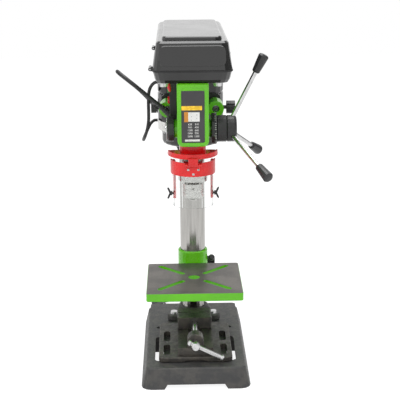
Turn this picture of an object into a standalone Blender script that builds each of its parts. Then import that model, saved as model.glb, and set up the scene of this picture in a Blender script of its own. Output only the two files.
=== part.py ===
"""Benchtop drill press with a belt head, a three-lever feed, a tilting table, a chuck guard and a vise.

Machine axes: the spindle's axis is the Z axis of the empty "press", +X is to the right of someone who stands in
front, +Y runs back towards the motor, and the bench is at Z = 0. All lengths are metres.
"""

import math

import bmesh
import bpy
from mathutils import Matrix, Vector

# Running and seating gaps
GAP = 0.0003
RUNNING_GAP = 0.0004
OVERRUN = 0.004
MERGE = 0.000001

# Frame: spindle to column, and the heights that everything hangs from
THROAT = 0.106
COLUMN_RADIUS = 0.023
COLUMN_WALL = 0.0035
HEAD_FOOT_Z = 0.397
HOUSING_FLOOR_Z = 0.502
TABLE_TOP_Z = 0.148

# Cast base
BASE_TOP_WIDTH = 0.168
BASE_TOP_LENGTH = 0.302
BASE_FRONT_REACH = 0.134
BASE_HEIGHT = 0.035
BASE_FLARE = 0.008
BASE_CORNER = 0.009
BASE_EDGE_ROUND = 0.0018
BASE_PLATE = 0.008
BASE_WALL = 0.008
BASE_RIB = 0.007
BASE_REAR_STEP = 0.0022
BASE_REAR_PAD_LENGTH = 0.045
FOOT_GAP_WIDTH = 0.104
FOOT_GAP_HEIGHT = 0.0078
FOOT_GAP_SLANT = 0.004
BASE_SLOT_WIDTH = 0.015
BASE_SLOT_LENGTH = 0.104
BASE_SLOT_OUTSET = 0.062
BASE_SLOT_REAR_Y = 0.001
BENCH_HOLE_RADIUS = 0.005
BENCH_HOLE_OUTSET = 0.064
BENCH_HOLE_Y = 0.045

# Column foot
FOOT_FLANGE_THICKNESS = 0.012
FOOT_BOLT_CIRCLE = 0.042
FOOT_EAR_RADIUS = 0.0125
FOOT_BOSS_HEIGHT = 0.0225
FOOT_BOSS_BOTTOM = 0.0335
FOOT_BOSS_TOP = 0.0275
COLUMN_TOP_SINK = 0.010

# Head casting
HEAD_WIDTH = 0.052
HEAD_FRONT_REACH = 0.062
HEAD_CORNER = 0.009
HEAD_PANEL_BORDER = 0.0065
HEAD_PANEL_DEPTH = 0.0012
HEAD_SOCKET_RADIUS = 0.0315
HEAD_SOCKET_DROP = 0.007
QUILL_BORE_GAP = 0.0003
PULLEY_BEARING_RADIUS = 0.0135
PULLEY_BEARING_LENGTH = 0.030
FEED_BOSS_RADIUS = 0.0165
FEED_BOSS_REACH = 0.0058
ROD_RADIUS = 0.0065
ROD_OUTSET = 0.043
ROD_Z = 0.433
ROD_BOSS_RADIUS = 0.0145
ROD_BOSS_FRONT_Y = 0.084
ROD_BOSS_LENGTH = 0.040
ROD_WEB_HEIGHT = 0.016

# Quill, spindle and chuck
QUILL_RADIUS = 0.0185
QUILL_NOSE_RADIUS = 0.0160
QUILL_NOSE_LENGTH = 0.013
QUILL_FOOT_Z = 0.377
QUILL_LENGTH = 0.093
QUILL_TRAVEL = 0.050
QUILL_WALL = 0.0055
SPINDLE_RADIUS = 0.0080
SPINDLE_TOP_Z = 0.562
SPLINE_COUNT = 6
SPLINE_DEPTH = 0.0011
ARBOR_LENGTH = 0.012
CHUCK_NOSE_Z = 0.2935
CHUCK_LENGTH = 0.068
CHUCK_NOSE_RADIUS = 0.0118
CHUCK_BODY_RADIUS = 0.0198
CHUCK_TOP_RADIUS = 0.0165
CHUCK_BODY_LENGTH = 0.0285
CHUCK_SLEEVE_RADIUS = 0.0247
CHUCK_SLEEVE_LENGTH = 0.021
CHUCK_GEAR_HEIGHT = 0.0045
CHUCK_CONE_SHARE = 0.45
TOOTH_DEPTH_SHARE = 0.75
TOOTH_TIP_SHARE = 0.16
TOOTH_ROOT_SHARE = 0.34
CHUCK_TEETH = 18
KEY_HOLE_RADIUS = 0.0031
KEY_HOLE_DEPTH = 0.006
JAW_TILT_DEGREES = 16
JAW_HALF_WIDTH = 0.0034
JAW_DEPTH = 0.0062
JAW_LENGTH = 0.034
JAW_REACH = 0.0030
JAW_TRAVEL = 0.016

# Feed: rack, pinion shaft, hub, levers, depth ring and return spring
PINION_TEETH = 14
PINION_MODULE = 0.00125
PINION_FACE = 0.018
RACK_SINK = 0.0019
RACK_BACKLASH = 0.00035
SHAFT_RADIUS = 0.0065
FEED_Z = 0.410
DEPTH_RING_RADIUS = 0.027
DEPTH_RING_LENGTH = 0.0095
DEPTH_RING_BORE = 0.0115
HUB_RADIUS = 0.0230
HUB_LENGTH = 0.034
HUB_ROUND = 0.0050
HUB_GROOVE = 0.0012
LEVER_TILT_DEGREES = 27
LEVER_START_DEGREES = 90
LEVER_COUNT = 3
LEVER_RADIUS = 0.0039
LEVER_KNOB_START = 0.108
LEVER_KNOB_LENGTH = 0.034
LEVER_KNOB_SMALL = 0.0068
LEVER_KNOB_LARGE = 0.0092
SPRING_CAP_RADIUS = 0.0222
SPRING_CAP_LENGTH = 0.0125
SPRING_CAP_RIM = 0.0018

# Chuck guard
GUARD_CLAMP_Z = 0.3705
GUARD_PLATE_RADIUS = 0.043
GUARD_PLATE_THICKNESS = 0.0035
GUARD_PLATE_LIP = 0.0085
GUARD_CLAMP_RADIUS = 0.0225
GUARD_CLAMP_HEIGHT = 0.0105
GUARD_TAB_WIDTH = 0.0165
HOOD_RADIUS = 0.0385
HOOD_WALL = 0.0022
HOOD_HEIGHT = 0.0235
HOOD_TOP_Z = 0.3635
HOOD_HINGE_RADIUS = 0.0032
HOOD_PIN_RADIUS = 0.0012
HOOD_ARM_DEGREES = 12
HOOD_ARM_SPREAD_DEGREES = 8
HOOD_ARM_LENGTH = 0.0440
SHIELD_WALL = 0.0018
SHIELD_FOOT_Z = 0.2835
SHIELD_HEIGHT = 0.062
SHIELD_LIFT = 0.015
SHIELD_SLOT_WIDTH = 0.005
WING_SCREW_Z = 0.3045
WING_SCREW_RADIUS = 0.0019
WING_HUB_RADIUS = 0.0042
WING_SPAN = 0.0105
WING_LENGTH = 0.0085
WING_THICKNESS_SHARE = 0.45

# Belt housing, cover, pulleys and belt
HOUSING_BOTTOM_WIDTH = 0.121
HOUSING_TOP_WIDTH = 0.129
HOUSING_FRONT_REACH = 0.071
HOUSING_REAR_ROOM = 0.025
HOUSING_DEPTH = 0.022
HOUSING_WALL = 0.0025
HOUSING_CORNER = 0.016
HOUSING_LIP = 0.0012
HOUSING_LIP_HEIGHT = 0.0030
HOUSING_FLOOR_INSET = 0.010
COVER_TOP_WIDTH = 0.1168
COVER_FRONT_LEAN = 0.009
COVER_HEIGHT = 0.0455
COVER_CORNER = 0.012
COVER_REAR_CORNER = 0.022
COVER_EDGE_ROUND = 0.0030
COVER_PANEL_HALF_WIDTH = 0.050
COVER_PANEL_FRONT = 0.026
COVER_PANEL_HEIGHT = 0.0050
FACE_PANEL_HALF_WIDTH = 0.0545
FACE_PANEL_BOTTOM = 0.0065
FACE_PANEL_TOP = 0.0060
FACE_PANEL_ROUND = 0.010
FACE_PANEL_DEPTH = 0.0014
HINGE_RADIUS = 0.0030
HINGE_PIN_RADIUS = 0.0013
HINGE_LENGTH = 0.030
HINGE_FRONT_INSET = 0.004
HINGE_REAR_INSET = 0.060
LATCH_Y = 0.195
LATCH_STEM_RADIUS = 0.0022
LATCH_KNOB_RADIUS = 0.0062
LATCH_KNOB_LENGTH = 0.0085
PULLEY_STEP_COUNT = 5
PULLEY_STEP_HEIGHT = 0.0105
PULLEY_LARGE_RADIUS = 0.046
PULLEY_SMALL_RADIUS = 0.022
PULLEY_GROOVE_DEPTH = 0.0080
PULLEY_LAND_SHARE = 0.1
PULLEY_FLOOR_GAP = 0.0045
BELT_STEP_COUNT = 2
BELT_SINK = 0.0008
BELT_THICKNESS = 0.0040

# Motor and its slide
MOTOR_Y = 0.2140
MOTOR_RADIUS = 0.0620
MOTOR_TOP_Z = 0.490
MOTOR_BODY_LENGTH = 0.123
MOTOR_CAP_RADIUS = 0.0545
MOTOR_CAP_LENGTH = 0.0215
MOTOR_EDGE_ROUND = 0.0022
MOTOR_SHAFT_RADIUS = 0.0065
MOTOR_SEAM = 0.0450
MOTOR_PLATE_THICKNESS = 0.010
MOTOR_PLATE_MARGIN = 0.011
MOTOR_FOOT_SHARE = 0.62
MOTOR_FOOT_SINK_SHARE = 0.7
MOTOR_PLATE_HEIGHT = 0.038
MOTOR_SLIDE = 0.008
LOCK_KNOB_RADIUS_LEFT = 0.0092
LOCK_KNOB_RADIUS_RIGHT = 0.0115
LOCK_KNOB_LENGTH_LEFT = 0.0095
LOCK_KNOB_LENGTH_RIGHT = 0.0155
LOCK_SCREW_RADIUS = 0.0034
LOCK_SCREW_REACH = 0.0050

# Switch box
SWITCH_DEPTH = 0.0125
SWITCH_LENGTH = 0.033
SWITCH_HEIGHT = 0.070
SWITCH_BOTTOM_Z = 0.4185
SWITCH_FRONT_Y = 0.0495
SWITCH_CORNER = 0.004
BUTTON_MIDDLE_Z = 0.4630
BUTTON_RADIUS = 0.0068
BUTTON_PROUD = 0.0030
BUTTON_TRAVEL = 0.0022
BUTTON_SINK = 0.0055
BUTTON_SPACING = 0.019

# Table and its bracket
TABLE_WIDTH = 0.165
TABLE_FRONT_REACH = 0.083
TABLE_COLLAR_CLEARANCE = 0.0018
TABLE_RIM = 0.0142
TABLE_SKIN = 0.0075
TABLE_CORNER = 0.004
TABLE_RIM_WALL = 0.008
TABLE_HOLE_RADIUS = 0.0105
TABLE_SLOT_WIDTH = 0.0100
TABLE_SLOT_START = 0.0235
TABLE_SLOT_END = 0.0890
TILT_AXIS_DROP = 0.038
TILT_HUB_RADIUS = 0.0200
TILT_HUB_LENGTH = 0.0160
TILT_HUB_REAR_Y = 0.046
TILT_BOLT_RADIUS = 0.0065
TILT_BOLT_HEAD = 0.0105
TILT_BOLT_HEAD_LENGTH = 0.0085
TILT_ARM_HALF_HEIGHT = 0.0135
TILT_ARM_SHARE = 0.8
TILT_FACE_SHARE = 0.6
COLLAR_RADIUS = 0.0272
COLLAR_ABOVE_TABLE = 0.0200
COLLAR_HEIGHT = 0.072
COLLAR_SPLIT = 0.003
COLLAR_EAR = 0.012
COLLAR_EAR_WIDTH = 0.0240
COLLAR_EAR_HEIGHT = 0.026
CLAMP_SCREW_RADIUS = 0.0045
CLAMP_BAR_RADIUS = 0.0034
CLAMP_BAR_LENGTH = 0.0425
CLAMP_BAR_DEGREES = 66
CLAMP_BALL_RADIUS = 0.0062
CLAMP_HUB_RADIUS = 0.0075
CLAMP_BAR_CLEARANCE = 0.0012

# Vise
VISE_FLANGE_WIDTH = 0.125
VISE_FLANGE_THICKNESS = 0.0090
VISE_FRONT_Y = -0.1120
VISE_LENGTH = 0.157
VISE_SLOT_WIDTH = 0.0115
VISE_SLOT_OUTSET = 0.0490
VISE_SLOT_LENGTH = 0.0460
VISE_SLOT_FRONT = 0.0115
VISE_SLOT_SPACING = 0.0590
VISE_BODY_WIDTH = 0.060
VISE_BED_Z = 0.0580
VISE_GUIDE_WIDTH = 0.0220
VISE_JAW_TOP_Z = 0.0800
VISE_JAW_MEET_Y = 0.0050
VISE_FIXED_JAW_LENGTH = 0.022
VISE_MOVING_JAW_LENGTH = 0.026
VISE_SEAT_SHARE = 0.45
VISE_SCREW_Z = 0.0680
VISE_SCREW_RADIUS = 0.0058
VISE_BOSS_RADIUS = 0.0140
VISE_BOSS_LENGTH = 0.022
VISE_WALL_LENGTH = 0.016
VISE_HEAD_RADIUS = 0.0070
VISE_HEAD_LENGTH = 0.0170
VISE_BAR_RADIUS = 0.0039
VISE_BAR_LENGTH = 0.066
VISE_BAR_KNOB = 0.0052
VISE_BAR_KNOB_LENGTH = 0.0050
VISE_BAR_TILT_DEGREES = 27

# Cords
CORD_RADIUS = 0.0035
LEAD_RADIUS = 0.0029
GLAND_Z = 0.4290
GLAND_RADIUS = 0.0070
GLAND_TIP_RADIUS = 0.0046
GLAND_LENGTH = 0.024
GLAND_RISE_DEGREES = 40
COIL_X = -0.036
COIL_Y = 0.240
COIL_MIDDLE_RADIUS = 0.0365
COIL_TURN_COUNT = 4.5
COIL_SPACING = 0.0078
TURN_POINT_COUNT = 18
PLUG_NECK_LENGTH = 0.018
PLUG_LENGTH = 0.030
PLUG_WIDTH = 0.028
PLUG_HEIGHT = 0.0205
PLUG_CORNER = 0.006
BLADE_LENGTH = 0.0165
BLADE_WIDTH = 0.0064
BLADE_THICKNESS = 0.0016
BLADE_SPACING = 0.0127
EARTH_PIN_RADIUS = 0.0024
EARTH_PIN_OFFSET = 0.0080

# The cord's route from its gland over to the back and down to the bench, in the machine's axes
CORD_ROUTE = [
    (-0.0750, 0.0660, 0.4594), (-0.0920, 0.0660, 0.4737), (-0.1075, 0.0665, 0.4866), (-0.1220, 0.0744, 0.4970),
    (-0.1300, 0.0940, 0.5003), (-0.1275, 0.1290, 0.4905), (-0.1170, 0.1800, 0.4719), (-0.0980, 0.2350, 0.4452),
    (-0.0790, 0.2760, 0.4170), (-0.0590, 0.3030, 0.3850), (-0.0400, 0.3150, 0.3500), (-0.0230, 0.3170, 0.3120),
    (-0.0090, 0.3120, 0.2700), (0.0010, 0.3040, 0.2250), (0.0065, 0.2960, 0.1750), (0.0085, 0.2900, 0.1250),
    (0.0085, 0.2858, 0.0800), (0.0085, 0.2852, 0.0540), (0.0066, 0.2852, 0.0300), (0.0008, 0.2852, 0.0160),
    (-0.0085, 0.2852, 0.0076),
]

# The motor's lead: out of the switch box, down beside the slide and into the motor's side
LEAD_ROUTE = [
    (-0.0560, 0.0785, 0.4830), (-0.0640, 0.0860, 0.4815), (-0.0710, 0.0940, 0.4740),
    (-0.0752, 0.1000, 0.4630), (-0.0768, 0.1060, 0.4450), (-0.0770, 0.1100, 0.4250), (-0.0776, 0.1150, 0.4070),
    (-0.0805, 0.1220, 0.3900), (-0.0850, 0.1330, 0.3750), (-0.0880, 0.1480, 0.3660), (-0.0885, 0.1650, 0.3640),
    (-0.0860, 0.1800, 0.3680), (-0.0815, 0.1930, 0.3760), (-0.0770, 0.2020, 0.3840), (-0.0715, 0.2075, 0.3890),
]
LEAD_START_Y = 0.0760
LEAD_START_Z = 0.4820
LEAD_END_Y = 0.2090
LEAD_END_Z = 0.3905


def wipe_scene():
    for old in list(bpy.data.objects):
        bpy.data.objects.remove(old, do_unlink=True)


WORLD = {}


def empty(name, where, parent=None):
    """An axis empty; WORLD keeps where it stands in the machine's axes."""
    axis = bpy.data.objects.new(name, None)
    axis.empty_display_size = COLUMN_RADIUS
    bpy.context.scene.collection.objects.link(axis)
    WORLD[name] = Vector(where)
    if parent:
        axis.parent = bpy.data.objects[parent]
        axis.location = WORLD[name] - WORLD[parent]
    return axis


def finish(name, colour, roughness, metallic=0.0, transmission=0.0):
    surface = bpy.data.materials.get(name) or bpy.data.materials.new(name)
    surface.use_nodes = True
    shader = surface.node_tree.nodes["Principled BSDF"]
    shader.inputs["Base Color"].default_value = (*colour, 1.0)
    shader.inputs["Roughness"].default_value = roughness
    shader.inputs["Metallic"].default_value = metallic
    shader.inputs["Transmission Weight"].default_value = transmission
    return surface


def paint_green():
    return finish("green_paint", (0.22, 0.72, 0.03), 0.35)


def paint_red():
    return finish("red_plastic", (0.72, 0.01, 0.01), 0.35)


def black_gloss():
    return finish("black_gloss", (0.02, 0.02, 0.02), 0.2)


def black_plastic():
    return finish("black_plastic", (0.025, 0.025, 0.025), 0.45)


def cast_grey():
    return finish("cast_grey", (0.06, 0.06, 0.06), 0.5, 0.3)


def steel():
    return finish("bright_steel", (0.6, 0.6, 0.6), 0.25, 1.0)


def aluminium():
    return finish("cast_aluminium", (0.7, 0.7, 0.7), 0.35, 1.0)


def rubber():
    return finish("black_rubber", (0.02, 0.02, 0.02), 0.6)


def clear_plastic():
    return finish("clear_plastic", (0.95, 0.97, 0.97), 0.05, 0.0, 1.0)


def to_axes(u, v, along, axis):
    """A point of an outline (u, v) at a distance along one axis: u and v take the other two axes in order."""
    return {"x": (along, u, v), "y": (u, along, v), "z": (u, v, along)}[axis]


def arc(centre, radius, start, end, steps):
    """Points on an arc from one angle to another in degrees, both ends kept."""
    points = []
    for i in range(steps + 1):
        angle = math.radians(start + (end - start) * i / steps)
        points.append((centre[0] + radius * math.cos(angle), centre[1] + radius * math.sin(angle)))
    return points


def circle(centre, radius, count, start=0.0):
    return arc(centre, radius, start, start + 360, count)[:-1]


def rounded(width, length, radius, centre=(0, 0), steps=3):
    """A rectangle with round corners, as one outline."""
    outline = []
    for sx, sy, start in ((1, 1, 0), (-1, 1, 90), (-1, -1, 180), (1, -1, 270)):
        corner = (centre[0] + sx * (width / 2 - radius), centre[1] + sy * (length / 2 - radius))
        outline += arc(corner, radius, start, start + 90, steps)
    return outline


def slot(start, end, radius, steps=6):
    """A slot with round ends from one centre point to another."""
    angle = math.degrees(math.atan2(end[1] - start[1], end[0] - start[0]))
    return arc(end, radius, angle - 90, angle + 90, steps) + arc(start, radius, angle + 90, angle + 270, steps)


def loft(sections):
    """One closed solid through rings of the same count of points, capped at both ends."""
    mesh = bmesh.new()
    rings = [[mesh.verts.new(point) for point in ring] for ring in sections]
    count = len(rings[0])
    for lower, upper in zip(rings, rings[1:]):
        for i in range(count):
            mesh.faces.new((lower[i], lower[(i + 1) % count], upper[(i + 1) % count], upper[i]))
    mesh.faces.new(rings[0][::-1])
    mesh.faces.new(rings[-1])
    bmesh.ops.recalc_face_normals(mesh, faces=mesh.faces)
    return mesh


def prism(outline, low, high, axis="z"):
    """An outline extruded from low to high along an axis."""
    return loft([[to_axes(u, v, along, axis) for u, v in outline] for along in (low, high)])


def turned(profile, axis="z", centre=(0, 0, 0), steps=28):
    """A profile of (radius, height) points spun about an axis: a closed ring where no radius is zero."""
    mesh = bmesh.new()
    along = Vector(to_axes(0, 0, 1, axis))
    out = Vector(to_axes(1, 0, 0, axis))
    middle = Vector(centre)
    corners = [mesh.verts.new(middle + out * radius + along * height) for radius, height in profile]
    edges = [mesh.edges.new(pair) for pair in zip(corners, corners[1:])]
    if min(radius for radius, height in profile) > 0:
        edges.append(mesh.edges.new((corners[-1], corners[0])))
    bmesh.ops.spin(
        mesh, geom=corners + edges, axis=along, cent=middle, angle=math.tau, steps=steps, use_merge=True
    )
    bmesh.ops.remove_doubles(mesh, verts=mesh.verts, dist=MERGE)
    poles = [v for v in mesh.verts if (v.co - middle).cross(along).length < MERGE]
    bmesh.ops.dissolve_verts(mesh, verts=poles)
    bmesh.ops.recalc_face_normals(mesh, faces=mesh.faces)
    return mesh


def rod(radius, low, high, axis="z", centre=(0, 0), steps=20):
    return prism(circle(centre, radius, steps), low, high, axis)


def soften(mesh, width, segments=1, least_degrees=30):
    """Bevels each edge that is sharper than an angle."""
    sharp = [e for e in mesh.edges if e.is_manifold and e.calc_face_angle(0) > math.radians(least_degrees)]
    bmesh.ops.bevel(mesh, geom=sharp, offset=width, segments=segments, affect="EDGES", clamp_overlap=True)
    return mesh


def turn(mesh, degrees, axis, centre):
    """Turns a mesh about an axis through a point."""
    matrix = Matrix.Rotation(math.radians(degrees), 4, axis)
    bmesh.ops.transform(mesh, matrix=Matrix.Translation(centre) @ matrix @ Matrix.Translation(-Vector(centre)),
                        verts=mesh.verts)
    return mesh


def place(mesh, name, surface, parent, origin=None, smooth_degrees=34):
    """An object made from a mesh in machine axes, with its origin on its parent's axis or where asked."""
    where = WORLD[parent] if origin is None else Vector(origin)
    if mesh.calc_volume(signed=True) < 0:
        bmesh.ops.reverse_faces(mesh, faces=mesh.faces)
    bmesh.ops.translate(mesh, verts=mesh.verts, vec=-where)
    data = bpy.data.meshes.new(name)
    mesh.to_mesh(data)
    mesh.free()
    data.shade_smooth()
    data.set_sharp_from_angle(angle=math.radians(smooth_degrees))
    made = bpy.data.objects.new(name, data)
    bpy.context.scene.collection.objects.link(made)
    made.parent = bpy.data.objects[parent]
    made.location = where - WORLD[parent]
    if surface:
        data.materials.append(surface)
    return made


def shaped(target, mesh, operation="DIFFERENCE"):
    """Adds a Boolean to an object, with its tool as a hidden guide on the same parent."""
    label = f"{target.name}_tool_{len(target.modifiers)}"
    tool = place(mesh, label, None, target.parent.name)
    tool.hide_render = True
    tool.display_type = "WIRE"
    step = target.modifiers.new(label, "BOOLEAN")
    step.operation = operation
    step.solver = "EXACT"
    step.object = tool
    return target


def joined(target, mesh):
    return shaped(target, mesh, "UNION")


# Places worked out from the sizes above
COLUMN_Y = THROAT
BASE_MIDDLE_Y = BASE_TOP_LENGTH / 2 - BASE_FRONT_REACH
TABLE_LENGTH = TABLE_FRONT_REACH + COLUMN_Y - COLLAR_RADIUS - TABLE_COLLAR_CLEARANCE
HOUSING_LENGTH = HOUSING_FRONT_REACH + MOTOR_Y + PULLEY_LARGE_RADIUS + HOUSING_REAR_ROOM
MOTOR_PLATE_WIDTH = 2 * (ROD_OUTSET + MOTOR_PLATE_MARGIN)
HEAD_TOP_Z = HOUSING_FLOOR_Z - GAP
PITCH_RADIUS = PINION_TEETH * PINION_MODULE / 2
RACK_PITCH_Y = QUILL_RADIUS - RACK_SINK
FEED_Y = RACK_PITCH_Y + PITCH_RADIUS
PINION_TIP = PITCH_RADIUS + PINION_MODULE
FEED_BORE = PINION_TIP + RUNNING_GAP
HEAD_SIDE = HEAD_WIDTH / 2
BOSS_FACE_X = HEAD_SIDE + FEED_BOSS_REACH
RING_START_X = BOSS_FACE_X + RUNNING_GAP
HUB_START_X = RING_START_X + DEPTH_RING_LENGTH + RUNNING_GAP
HUB_END_X = HUB_START_X + HUB_LENGTH
SEAM_Z = HOUSING_FLOOR_Z + HOUSING_DEPTH
COVER_FOOT_Z = SEAM_Z + GAP
COVER_TOP_Z = COVER_FOOT_Z + COVER_HEIGHT
TILT_Z = TABLE_TOP_Z - TILT_AXIS_DROP
CHUCK_TOP_Z = CHUCK_NOSE_Z + CHUCK_LENGTH
CHUCK_SLEEVE_Z = CHUCK_NOSE_Z + CHUCK_BODY_LENGTH
FLANGE_Z = BASE_HEIGHT + GAP


def rounded_slab(width, length, radius, middle_y, z):
    return [(x, y, z) for x, y in rounded(width, length, radius, (0, middle_y))]


def base():
    """A flared casting, hollow below between ribs, with feet at its corners, two slots and two bench holes."""
    top_width, top_length = BASE_TOP_WIDTH, BASE_TOP_LENGTH
    shoulder = BASE_HEIGHT - BASE_EDGE_ROUND
    sections = [
        rounded_slab(top_width + 2 * BASE_FLARE, top_length + 2 * BASE_FLARE, BASE_CORNER + BASE_FLARE,
                     BASE_MIDDLE_Y, 0),
        rounded_slab(top_width, top_length, BASE_CORNER, BASE_MIDDLE_Y, shoulder),
        rounded_slab(top_width - 2 * BASE_EDGE_ROUND, top_length - 2 * BASE_EDGE_ROUND,
                     BASE_CORNER - BASE_EDGE_ROUND, BASE_MIDDLE_Y, BASE_HEIGHT),
    ]
    made = place(loft(sections), "base", cast_grey(), "press")
    pocket_width = (top_width - 2 * BASE_WALL - BASE_RIB) / 2
    pocket_length = (top_length - 2 * BASE_WALL - BASE_RIB) / 2
    ceiling = BASE_HEIGHT - BASE_PLATE
    draft = BASE_FLARE * ceiling / shoulder
    for sx in (-1, 1):
        for sy in (-1, 1):
            centre = (sx * (pocket_width + BASE_RIB) / 2, BASE_MIDDLE_Y + sy * (pocket_length + BASE_RIB) / 2)
            rings = []
            for z, grow in ((-OVERRUN, draft), (ceiling, 0)):
                middle = (centre[0] + sx * grow / 2, centre[1] + sy * grow / 2)
                outline = rounded(pocket_width + grow, pocket_length + grow, BASE_CORNER, middle, 2)
                rings.append([(x, y, z) for x, y in outline])
            shaped(made, loft(rings))
    half = FOOT_GAP_WIDTH / 2
    gap_outline = [
        (-half - OVERRUN, -OVERRUN), (half + OVERRUN, -OVERRUN),
        (half - FOOT_GAP_SLANT, FOOT_GAP_HEIGHT), (FOOT_GAP_SLANT - half, FOOT_GAP_HEIGHT),
    ]
    front = BASE_MIDDLE_Y - top_length / 2 - BASE_FLARE - OVERRUN
    rear = BASE_MIDDLE_Y + top_length / 2 + BASE_FLARE + OVERRUN
    shaped(made, prism(gap_outline, front, rear, "y"))
    slot_half = BASE_SLOT_WIDTH / 2
    for side in (-1, 1):
        x = side * BASE_SLOT_OUTSET
        ends = (x, BASE_SLOT_REAR_Y - slot_half), (x, BASE_SLOT_REAR_Y - BASE_SLOT_LENGTH + slot_half)
        shaped(made, prism(slot(*ends, slot_half, 5), ceiling - OVERRUN, BASE_HEIGHT + OVERRUN))
        centre = (side * BENCH_HOLE_OUTSET, BENCH_HOLE_Y)
        shaped(made, rod(BENCH_HOLE_RADIUS, ceiling - OVERRUN, BASE_HEIGHT + OVERRUN, "z", centre, 12))
        step_x = side * (top_width / 2 + BASE_FLARE)
        step_width = 2 * (BASE_FLARE + BASE_REAR_STEP)
        step_y = BASE_MIDDLE_Y + top_length / 2 - BASE_REAR_PAD_LENGTH / 2 + BASE_FLARE
        outline = rounded(step_width, BASE_REAR_PAD_LENGTH + 2 * BASE_FLARE, BASE_REAR_STEP / 2,
                          (step_x, step_y), 1)
        shaped(made, prism(outline, ceiling, BASE_HEIGHT + OVERRUN))
    return made


def column_foot():
    """A three-eared flange with a coned boss that holds the column."""
    outline = []
    for bearing in (-30, 90, 210):
        angle = math.radians(bearing)
        centre = (FOOT_BOLT_CIRCLE * math.cos(angle), COLUMN_Y + FOOT_BOLT_CIRCLE * math.sin(angle))
        outline += arc(centre, FOOT_EAR_RADIUS, bearing - 60, bearing + 60, 6)
    made = place(
        soften(prism(outline, FLANGE_Z, FLANGE_Z + FOOT_FLANGE_THICKNESS), BASE_EDGE_ROUND),
        "column_foot", cast_grey(), "press",
    )
    top = FLANGE_Z + FOOT_BOSS_HEIGHT
    boss = [
        (0, FLANGE_Z + GAP), (FOOT_BOSS_BOTTOM, FLANGE_Z + GAP), (FOOT_BOSS_BOTTOM, FLANGE_Z + FOOT_FLANGE_THICKNESS),
        (FOOT_BOSS_TOP, top - BASE_EDGE_ROUND), (FOOT_BOSS_TOP - BASE_EDGE_ROUND, top), (0, top),
    ]
    joined(made, turned(boss, "z", (0, COLUMN_Y, 0), 22))
    shaped(made, rod(COLUMN_RADIUS + GAP, FLANGE_Z - OVERRUN, top + OVERRUN, "z", (0, COLUMN_Y), 20))
    return made


def column():
    bottom, top = FLANGE_Z, HEAD_TOP_Z - COLUMN_TOP_SINK
    inner = COLUMN_RADIUS - COLUMN_WALL
    edge = COLUMN_WALL / 4
    profile = [
        (inner, bottom), (COLUMN_RADIUS, bottom), (COLUMN_RADIUS, top - edge), (COLUMN_RADIUS - edge, top),
        (inner, top),
    ]
    return place(turned(profile, "z", (0, COLUMN_Y, 0), 24), "column", steel(), "press", (0, COLUMN_Y, bottom))


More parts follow.
